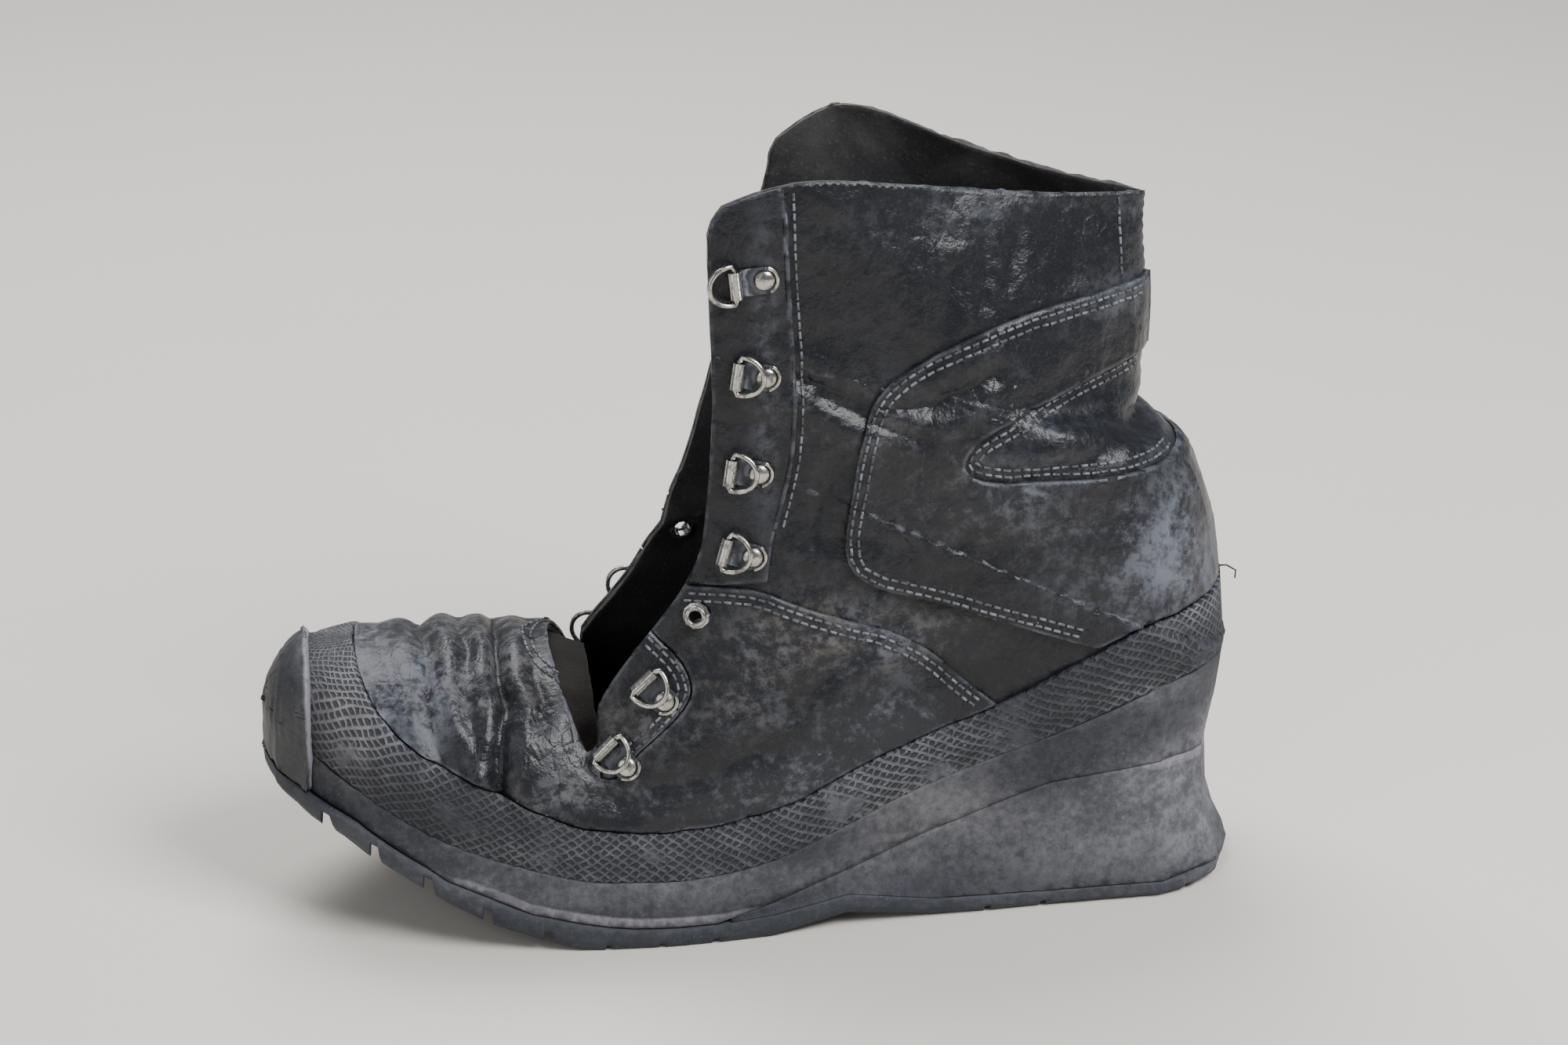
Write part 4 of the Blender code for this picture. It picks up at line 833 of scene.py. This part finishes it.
def rubber_finish(name, pits=False, dusty=0.5, tint=None, rough=0.72, torn=False, strip=None):
    """Dusty rubber, with lozenge pits in painted shade, a torn pale edge, or a pale strip with a painted
    shade line in the gap to the next layer, where asked.
    """
    colours = bpy.context.scene.boot_colours
    made = Finish(name)
    dust, soil = made.painted("dust"), made.painted("soil")
    cloud = made.noise(24.0, 7.0, 0.66, made.stretched((0.6, 1.0, 1.5)))
    speck = made.noise(700.0, 3.0, 0.75)
    streak = made.noise(150.0, 5.0, 0.7)
    grit = made.band(made.noise(1300.0, 2.0, 0.7), 0.60, 0.72)
    sand = made.noise(430.0, 4.0, 0.7)
    mottle = made.band(cloud * 0.40 + streak * 0.28 + sand * 0.32, 0.41, 0.63)
    # The table's dust, with painted sheen where its rows reach the rubber.
    haze = (dust * 1.1).clamp() * (0.30 + mottle * 0.70) * 0.66 + mottle * dusty * 0.11 + grit * 0.12
    height = speck * 0.35 + streak * 0.3
    if pits:
        across = add_node(made.tree, "ShaderNodeUVMap", {"uv_map": "wrap"})
        pitch = bpy.context.scene.boot_sizes.pit_pitch
        u, v = (add_node(made.tree, "ShaderNodeSeparateXYZ", {}, [across], output=side) for side in (0, 1))
        slant = (u / pitch, v / (pitch * 0.80))
        one = (slant[0] + slant[1]) * 0.5
        two = (slant[0] - slant[1]) * 0.5
        one = one.math("ABSOLUTE", one.math("FRACT", one) - 0.5)
        two = two.math("ABSOLUTE", two.math("FRACT", two) - 0.5)
        worn = made.band(made.noise(60.0, 4.0, 0.6), 0.70, 0.50)
        pit = made.band(one.math("MAXIMUM", one, two), 0.40, 0.22) * worn
        height = height - pit * 1.6
        # Painted shade: the pits keep little of the pale haze.
        haze = haze * (1.0 - pit * 0.80) + 0.045
    colour = made.blend(haze.clamp(), tint or colours.rubber, colours.sole_dust)
    colour = made.blend((soil * 0.9).clamp() * (0.3 + mottle * 0.7), colour, colours.soil)
    # Painted shade: the pits darken towards near-black.
    if pits:
        colour = made.blend(pit * 0.50, colour, (0.006, 0.007, 0.009))
    if torn:
        behind = made.axis(0) + streak * 0.0020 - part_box("toe_bumper")[0][0]
        colour = made.blend(made.band(behind, 0.0034, 0.0022) * 0.8, colour, (0.22, 0.215, 0.25))
    if strip:
        level = made.painted("level")
        low, high = strip
        near, far = made.band(made.axis(0), low, low + 0.02), made.band(made.axis(0), high, high - 0.02)
        wide = 0.0012 + near * far * 0.0030
        part = made.band(level + streak * 0.0016 - wide, 0.0006, -0.0004) * near * far
        colour = made.blend((part * (0.30 + mottle * 0.45)).clamp(), colour, (0.26, 0.255, 0.29))
        # Painted shade: a near-black line in the gap where this layer meets the next.
        colour = made.blend(made.band(level, 0.0009, 0.0003) * far * 0.9, colour, (0.004, 0.004, 0.005))
    made.link("Base Color", colour)
    made.link("Roughness", (rough + haze * 0.25).clamp())
    made.link("Specular IOR Level", 0.30)
    made.link("Normal", made.bump(height, 0.8, 0.00055, made.bump(cloud, 0.3, 0.0015)))
    return made.material


def metal_finish(name, colour, rough, dull):
    """Worn metal, dull in patches."""
    made = Finish(name)
    mask = made.band(made.noise(330.0, 5.0, 0.7), 0.47, 0.64)
    made.link("Base Color", made.blend(mask * dull, colour, (0.055, 0.053, 0.052)))
    made.link("Metallic", 1.0)
    made.link("Roughness", rough + mask * 0.30)
    made.link("Normal", made.bump(made.noise(700.0, 2.0, 0.5), 0.35, 0.0002))
    return made.material


def thread_finish():
    made = Finish("thread")
    share = made.band(made.noise(300.0), 0.4, 0.65)
    made.link("Base Color", made.blend(share, (0.045, 0.048, 0.056), (0.17, 0.18, 0.20)))
    made.link("Roughness", 0.8)
    return made.material


def floor_finish():
    made = Finish("floor")
    colour = bpy.context.scene.boot_colours.floor
    shade = tuple(part * 0.97 for part in colour)
    made.link("Base Color", made.blend(made.noise(9.0, 3.0, 0.5), shade, tuple(colour)))
    made.link("Roughness", 0.9)
    return made.material


FINISHES = {}


def finish(name):
    """Each finish is made once, when it is first asked for."""
    makers = {
        "upper_leather": lambda: leather_finish("upper_leather", 0.9),
        "panel_leather": lambda: leather_finish("panel_leather"),
        "vamp_leather": lambda: leather_finish("vamp_leather", 1.05),
        "suede": suede_finish,
        "raw_edge": lambda: suede_finish("raw_edge", (0.050, 0.047, 0.046), (0.10, 0.095, 0.09)),
        "tongue": lambda: suede_finish("tongue_suede", (0.010, 0.008, 0.007), (0.020, 0.016, 0.013)),
        "rand": lambda: rubber_finish("rand_rubber", pits=True, dusty=0.62),
        "cap": lambda: rubber_finish("cap_rubber", False, 0.35, (0.019, 0.021, 0.025), 0.48, torn=True),
        "midsole": lambda: rubber_finish(
            "midsole_rubber", False, 0.75, (0.017, 0.019, 0.025), strip=(0.06, 0.215)),
        "wedge": lambda: rubber_finish(
            "wedge_rubber", False, 0.75, (0.017, 0.019, 0.025), strip=(-0.06, 0.0)),
        "tread": lambda: rubber_finish("tread_rubber", False, 0.70, (0.026, 0.030, 0.038)),
        "nickel": lambda: metal_finish("nickel", tuple(bpy.context.scene.boot_colours.nickel), 0.20, 0.70),
        # The clip's strap and leaf: the nickel again, darker, as painted shade.
        "steel": lambda: metal_finish("dark_steel", (0.10, 0.105, 0.12), 0.36, 0.60),
        "thread": thread_finish,
        "floor": floor_finish,
    }
    if name not in FINISHES:
        FINISHES[name] = makers[name]()
    return FINISHES[name]


def use(piece, *names):
    for name in names:
        piece.data.materials.append(finish(name))


# Work on the leather's surface


def soften(points, rounds=2):
    for _ in range(rounds):
        cut = [points[0]]
        for (ax, az), (bx, bz) in zip(points, points[1:]):
            cut.append((ax * 0.75 + bx * 0.25, az * 0.75 + bz * 0.25))
            cut.append((ax * 0.25 + bx * 0.75, az * 0.25 + bz * 0.75))
        points = cut + [points[-1]]
    return points


def beside(points, gap):
    """A side-view line in metres, moved to its left."""
    real = [Vector((x_at(x), z * SHAFT_HEIGHT)) for x, z in points]
    moved = []
    for index, point in enumerate(real):
        before = (point - real[index - 1]).normalized() if index else None
        after = (real[index + 1] - point).normalized() if index + 1 < len(real) else None
        run = ((before or after) + (after or before)).normalized()
        moved.append(point + Vector((-run.y, run.x)) * gap)
    return moved


def sewn_surface():
    """A tree of the leather's outermost faces, to lay small work on."""
    made = bmesh.new()
    for node in LEATHER_NODES:
        made.from_mesh(bpy.data.objects["boot_" + node].data)
    tree = BVHTree.FromBMesh(made)
    made.free()
    return tree


def seen_from_side(line, side):
    """Starts and a direction to lay a side-view line from."""
    starts = [Vector((point.x, side * 0.2, point.y)) for point in line]
    return starts, Vector((0, -side, 0))


def seen_from_above(rows):
    """Starts and a direction to lay a plan line on both sides from."""
    half = [(x_at(x), y * BALL_BREADTH / 2) for x, y in rows]
    line = soften([(x, -y) for x, y in half] + half[-2::-1])
    return [Vector((x, y, 0.2)) for x, y in line], Vector((0, 0, -1))


def laid_line(tree, starts, direction, pitch, above):
    """Places at an even pitch along a line that is laid on the leather: point, run and facing."""
    places = []
    for start, end in zip(starts, starts[1:]):
        span = max(int((end - start).length / LAY_STEP), 1)
        for step in range(span):
            hit, facing, _, _ = tree.ray_cast(start.lerp(end, step / span), direction)
            beyond = hit is not None and hit.y * direction.y > LAY_BEYOND
            if hit is not None and not beyond and abs(facing.dot(direction)) > LAY_FACING:
                if facing.dot(direction) > 0:
                    facing = -facing
                places.append((hit + facing * above, facing))
    made = []
    run, wanted = 0.0, pitch / 2
    for (here, facing), (there, _) in zip(places, places[1:]):
        length = (there - here).length
        if length > 4 * pitch:
            run, wanted = 0.0, pitch / 2
            continue
        while length > 1e-7 and run + length >= wanted:
            made.append((here.lerp(there, (wanted - run) / length), (there - here).normalized(), facing))
            wanted += pitch
        run += length
    return made


def swept(name, points, radius, roundness=2, closed=False):
    """The mesh of a round cord or wire through the points."""
    curve = bpy.data.curves.new(name, "CURVE")
    curve.dimensions = "3D"
    curve.bevel_depth = radius
    curve.bevel_resolution = roundness
    curve.use_fill_caps = not closed
    spline = curve.splines.new("POLY")
    spline.points.add(len(points) - 1)
    for point, place in zip(spline.points, points):
        point.co = (*place, 1.0)
    spline.use_cyclic_u = closed
    mesh = final_mesh(linked(name, curve))
    mesh.shade_smooth()
    return mesh


def primitive(add, scale=(1, 1, 1), **settings):
    """A new primitive with its place, turn and scale applied."""
    bpy.ops.object.select_all(action="DESELECT")
    add(**settings)
    made = bpy.context.object
    made.scale = scale
    bpy.ops.object.transform_apply(location=True, rotation=True, scale=True)
    return made


def edited(obj, step, **settings):
    """The object's mesh after one edit step on all of it. The object itself goes."""
    bpy.ops.object.mode_set(mode="EDIT")
    bpy.ops.mesh.select_all(action="SELECT")
    step(**settings)
    bpy.ops.object.mode_set(mode="OBJECT")
    mesh = obj.data
    bpy.data.objects.remove(obj, do_unlink=True)
    return mesh


def modified(obj, kind, **settings):
    """Puts a modifier on the object and applies it."""
    step = obj.modifiers.new("Step", kind)
    for key, value in settings.items():
        setattr(step, key, value)
    bpy.context.view_layer.objects.active = obj
    bpy.ops.object.modifier_apply(modifier=step.name)


def stitch_template():
    """One stitch: a short thread that dips at both ends."""
    rod = primitive(bpy.ops.mesh.primitive_cylinder_add, vertices=6, radius=0.5, depth=1.0,
                    rotation=(0, pi / 2, 0))
    return edited(rod, bpy.ops.mesh.bevel, offset=0.12, segments=1)


def joined(name, template, places):
    """One object from copies of a mesh, each with its own place."""
    whole = bmesh.new()
    for place in places:
        before = len(whole.verts)
        whole.from_mesh(template)
        whole.verts.ensure_lookup_table()
        bmesh.ops.transform(whole, matrix=place, verts=whole.verts[before:])
    mesh = bpy.data.meshes.new(name)
    whole.to_mesh(mesh)
    whole.free()
    mesh.shade_smooth()
    return linked(name, mesh)


def frame_of(point, run, facing, scale):
    across = facing.cross(run).normalized()
    run = across.cross(facing).normalized()
    turn = Matrix((run * scale[0], across * scale[1], facing * scale[2])).transposed().to_4x4()
    return Matrix.Translation(point) @ turn


# Operators, one for each piece or group of like pieces


class BOOT_OT_upper(bpy.types.Operator):
    """Make the creased leather upper, suede inside, with raw edges."""

    bl_idname = "boot.upper"
    bl_label = "Upper"

    def execute(self, context):
        leather_piece("upper", ("upper_leather", "suede", "raw_edge"), SHELL_EDGE,
                      ragged=(0.0002, 0.0002, 0.0005))
        return {"FINISHED"}


class BOOT_OT_panels(bpy.types.Operator):
    """Make the leather panels that are sewn over the upper."""

    bl_idname = "boot.panels"
    bl_label = "Panels"

    def execute(self, context):
        for node in LEATHER_NODES[2:]:
            leather_piece(node, ("panel_leather",))
        leather_piece("vamp_panel", ("vamp_leather",), FINE_EDGE)
        return {"FINISHED"}


class BOOT_OT_rand(bpy.types.Operator):
    """Make the pitted rubber band and the smooth toe bumper."""

    bl_idname = "boot.rand"
    bl_label = "Rand and bumper"

    def execute(self, context):
        rand = leather_piece("rand", ("rand",), SHELL_EDGE, 0.35, self.loose_edge)
        wrap_map(rand.data)
        leather_piece("toe_bumper", ("cap",), FINE_EDGE, 0.2, ragged=(0.0008, 0, 0.0004))
        return {"FINISHED"}

    def loose_edge(self, points):
        """The band has come away a little over the toe."""
        gap = np.linalg.norm((points - np.array(LOOSE_AT)) / np.array(LOOSE_SPREAD), axis=1)
        return LOOSE_LIFT * np.exp(-gap ** 2)


class BOOT_OT_sole(bpy.types.Operator):
    """Make the layers of the sole, the insole and the tongue stub."""

    bl_idname = "boot.sole"
    bl_label = "Sole"

    def execute(self, context):
        for node, slot, look, other in (
                ("midsole", "midsole_rubber", "midsole", "outsole"),
                ("heel_wedge", "wedge_rubber", "wedge", "midsole"),
                ("outsole", "tread_rubber", "tread", "midsole"),
                ("insole", "insole_board", "suede", "midsole")):
            sole_piece(node, look, other)
        leather_piece("tongue", ("tongue",), TONGUE_EDGE, 0.6)
        return {"FINISHED"}


class BOOT_OT_stitching(bpy.types.Operator):
    """Lay rows of thread along the panels' edges and a piped edge behind the eyestay."""

    bl_idname = "boot.stitching"
    bl_label = "Stitching"

    def execute(self, context):
        sizes = context.scene.boot_sizes
        tree = sewn_surface()
        rows = [
            (COUNTER_TOP, 1, (1, -1), (-0.0020, -0.0044)),
            (COUNTER_GAP, 2, (1, -1), (0.0020, 0.0042)),
            (WING_TOP, 1, (1, -1), (-0.0020, -0.0042)),
            (NOTCH, 2, (1, -1), (0.0020, 0.0042)),
            (EYESTAY_BACK, 1, (1,), (-0.0026,)),
            (EYESTAY_BACK_IN, 1, (-1,), (-0.0026,)),
            (BACK_SEAM, 1, (1, -1), (0.0,)),
        ]
        routes = [seen_from_side(beside(soften(line, rounds), gap), side)
                  for line, rounds, sides, gaps in rows for side in sides for gap in gaps]
        wide = [(x + 0.008, y * 1.07) for x, y in THROAT_SEAM]
        routes += [seen_from_above(THROAT_SEAM), seen_from_above(wide)]
        pitch = sizes.stitch_pitch
        size = (pitch * STITCH_SHARE, sizes.stitch_width, sizes.stitch_width)
        places = [frame_of(point, run, facing, size) for starts, direction in routes
                  for point, run, facing in laid_line(tree, starts, direction, pitch, STITCH_TOP)]
        self.sewn(joined("boot_stitching", stitch_template(), places), "thread")
        for name, line, side in (("outer", EYESTAY_BACK, 1), ("inner", EYESTAY_BACK_IN, -1)):
            starts, direction = seen_from_side(beside(soften(line, 1), 0.0), side)
            path = [point for point, _, _ in laid_line(tree, starts, direction, PIPING_STEP, PIPING_SUNK)]
            mesh = swept("boot_piping_" + name, path, PIPING_RADIUS)
            paint_dust_and_sheen(mesh)
            self.sewn(linked("boot_piping_" + name, mesh), "panel_leather")
        self.sewn(linked("boot_loose_thread", swept("boot_loose_thread", TAIL, TAIL_RADIUS)), "thread")
        return {"FINISHED"}

    def sewn(self, piece, look):
        use(piece, look)
        boot_piece(piece)


class BOOT_OT_lace_hardware(bpy.types.Operator):
    """Make the clips, rivets, rings and eyelets at the lace places."""

    bl_idname = "boot.lace_hardware"
    bl_label = "Lace hardware"

    def execute(self, context):
        clip, rivet, ring = self.clip(), self.rivet(), self.ring(context.scene.boot_sizes)
        sunk = Matrix.Translation((RIVET_REACH, 0, RIVET_SUNK))
        for joint in frame["joints"]:
            label = joint["name"].replace("ring_", "").replace("_hinge", "")
            hinge = Vector(joint["pos_m"])
            along = -Vector(joint["axis"]).normalized()
            back = self.middle("rivet_" + label) - hinge
            back = (back - along * back.dot(along)).normalized()
            axes = Matrix((back, along, back.cross(along))).transposed().to_4x4()
            place = Matrix.Translation(hinge) @ axes
            bow = self.middle("d_ring_" + label) - hinge
            lie = Matrix.Rotation(-radians(15 if bow.dot(back) > 0 else 165), 4, "Y")
            for name, mesh, turn, node, body in (
                    ("boot_clip_", clip, Matrix(), "clip_", "boot"),
                    ("boot_rivet_", rivet, sunk, "rivet_", "boot"),
                    ("boot_ring_", ring, lie, "d_ring_", "ring_" + label)):
                data = mesh.copy()
                data.transform(place @ turn)
                piece = linked(name + label, data)
                use(piece, "nickel", "steel")
                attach(piece, body)
                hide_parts(node + label)
        for label in ("outer", "inner"):
            self.eyelet(label)
        return {"FINISHED"}

    def middle(self, node):
        low, high = (Vector(corner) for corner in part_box(node))
        return (low + high) / 2

    def eyelet(self, label):
        """A plain rolled eyelet with an open bore."""
        low, high = (np.array(corner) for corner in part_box("eyelet_" + label))
        centre = (low + high) / 2
        facing = Vector(LAST.read(np.array([centre]))[1][0])
        rim = primitive(bpy.ops.mesh.primitive_torus_add, major_segments=32, minor_segments=10,
                        major_radius=RIM_RADIUS, minor_radius=RIM_WIRE)
        turn = facing.to_track_quat("Z", "Y").to_matrix().to_4x4()
        reach = max(abs(Vector(high - low).dot(facing)) / 2 - RIM_WIRE, 0.001)
        rim.data.transform(Matrix.Translation(Vector(centre) + facing * reach) @ turn)
        rim.data.shade_smooth()
        rim.name = "boot_eyelet_" + label
        use(rim, "nickel")
        boot_piece(rim)
        NODES["eyelet_" + label].data.materials.clear()
        NODES["eyelet_" + label].data.materials.append(finish("nickel"))

    def combine(self, body, tool, operation):
        modified(body, "BOOLEAN", operation=operation, object=tool, solver="EXACT")
        bpy.data.objects.remove(tool, do_unlink=True)

    def clip(self):
        """A strap folded round the ring's bar. Its strap and round leaf take a darker copy of the nickel as
        painted shade, and a raised crescent of bright nickel on the leaf's edge is a painted highlight.
        """
        cylinder = bpy.ops.mesh.primitive_cylinder_add
        turn = (pi / 2, 0, 0)
        level = PLATE_THICK / 2 - BARREL_RADIUS
        barrel = primitive(cylinder, vertices=28, radius=BARREL_RADIUS, depth=2 * CLIP_HALF, rotation=turn)
        cylinder(vertices=28, radius=BARREL_BORE, depth=3 * CLIP_HALF, rotation=turn)
        self.combine(barrel, bpy.context.object, "DIFFERENCE")
        plate = primitive(cylinder, vertices=32, radius=PLATE_RADIUS, depth=PLATE_THICK,
                          location=(RIVET_REACH, 0, level))
        strap = primitive(bpy.ops.mesh.primitive_cube_add, (STRAP_LENGTH, 2 * CLIP_HALF, PLATE_THICK), size=1,
                          location=(STRAP_LENGTH / 2, 0, level))
        self.combine(plate, strap, "UNION")
        self.combine(plate, barrel, "UNION")
        modified(plate, "BEVEL", width=CLIP_BEVEL, segments=2, limit_method="ANGLE", angle_limit=radians(40))
        mesh = plate.data
        bpy.data.objects.remove(plate, do_unlink=True)
        # Painted shade: the strap and leaf take the darker copy of the nickel, and the barrel takes the
        # bright one.
        for face in mesh.polygons:
            face.material_index = 1 if face.center.x > BARREL_RADIUS else 0
        # Painted highlight: a crescent of bright nickel on the dark leaf's edge.
        arc = [radians(angle) for angle in range(-68, 69, 8)]
        path = [(RIVET_REACH + CRESCENT_RADIUS * cos(a), CRESCENT_RADIUS * sin(a), 0.0009 - BARREL_RADIUS)
                for a in arc]
        whole = bmesh.new()
        whole.from_mesh(mesh)
        whole.from_mesh(swept("crescent", path, CRESCENT_WIRE))
        whole.to_mesh(mesh)
        whole.free()
        return smoothed(mesh, 50)

    def rivet(self):
        """A low domed rivet head."""
        head = primitive(bpy.ops.mesh.primitive_uv_sphere_add, (1, 1, RIVET_DOME), segments=28, ring_count=16,
                         radius=RIVET_RADIUS)
        mesh = edited(head, bpy.ops.mesh.bisect, plane_co=(0, 0, 0), plane_no=(0, 0, 1), clear_inner=True,
                      use_fill=True)
        return smoothed(mesh, 60)

    def ring(self, sizes):
        """A D-ring of round wire, its straight bar on the hinge."""
        half = (sizes.ring_height - sizes.wire) / 2
        path = [(0.0, -half * 0.75, 0.0), (0.0, 0.0, 0.0), (0.0, half * 0.75, 0.0)]
        for step in range(17):
            angle = pi / 2 - pi * step / 16
            reach = sizes.ring_depth * (0.09 + 0.91 * max(cos(angle), 0.0) ** 0.9)
            path.append((reach, half * sin(angle), 0.0))
        return swept("ring", path, sizes.wire / 2, 4, closed=True)


class BOOT_OT_stage(bpy.types.Operator):
    """Set the floor, the soft studio light and the camera."""

    bl_idname = "boot.stage"
    bl_label = "Stage"

    def execute(self, context):
        scene = context.scene
        bpy.ops.object.select_all(action="DESELECT")
        bpy.ops.mesh.primitive_plane_add(size=8.0, location=(0, 0, -0.0002))
        floor = context.object
        floor.name = "stage_floor"
        use(floor, "floor")
        for name, place, size, power in LAMPS:
            lamp = bpy.data.lights.new(name, "AREA")
            lamp.energy = power
            lamp.size = size
            holder = linked(name, lamp)
            holder.location = place
            aim = Vector(LAMP_AIM) - Vector(place)
            holder.rotation_euler = aim.to_track_quat("-Z", "Y").to_euler()
        world = bpy.data.worlds.new("studio")
        world.use_nodes = True
        background = world.node_tree.nodes["Background"].inputs
        background["Color"].default_value = SKY
        background["Strength"].default_value = SKY_STRENGTH
        scene.world = world
        lens = bpy.data.cameras.new("camera")
        lens.lens = LENS
        lens.sensor_width = SENSOR
        lens.clip_start = 0.01
        camera = linked("camera", lens)
        away = Vector((sin(AZIMUTH) * cos(ELEVATION), -cos(AZIMUTH) * cos(ELEVATION), sin(ELEVATION)))
        camera.location = Vector(TARGET) + away * DISTANCE
        camera.rotation_euler = (-away).to_track_quat("-Z", "Y").to_euler()
        scene.camera = camera
        return {"FINISHED"}


class BOOT_PT_panel(bpy.types.Panel):
    """Lists the boot's pieces in the sidebar."""

    bl_idname = "BOOT_PT_panel"
    bl_label = "Work Boot"
    bl_space_type = "VIEW_3D"
    bl_region_type = "UI"
    bl_category = "Boot"

    def draw(self, context):
        for made in OPERATORS:
            self.layout.operator(made.bl_idname)
        for group in (context.scene.boot_sizes, context.scene.boot_colours):
            for name in group.__annotations__:
                self.layout.prop(group, name)


OPERATORS = (BOOT_OT_stage, BOOT_OT_upper, BOOT_OT_panels, BOOT_OT_rand, BOOT_OT_sole, BOOT_OT_stitching,
             BOOT_OT_lace_hardware)
CLASSES = (BootSizes, BootColours) + OPERATORS + (BOOT_PT_panel,)


def register():
    for made in CLASSES:
        bpy.utils.register_class(made)
    bpy.types.Scene.boot_sizes = PointerProperty(type=BootSizes)
    bpy.types.Scene.boot_colours = PointerProperty(type=BootColours)


def unregister():
    del bpy.types.Scene.boot_colours
    del bpy.types.Scene.boot_sizes
    for made in reversed(CLASSES):
        bpy.utils.unregister_class(made)


def main():
    register()
    bpy.ops.boot.stage()
    bpy.ops.boot.upper()
    bpy.ops.boot.panels()
    bpy.ops.boot.rand()
    bpy.ops.boot.sole()
    bpy.ops.boot.stitching()
    bpy.ops.boot.lace_hardware()


if __name__ == "__main__":
    main()
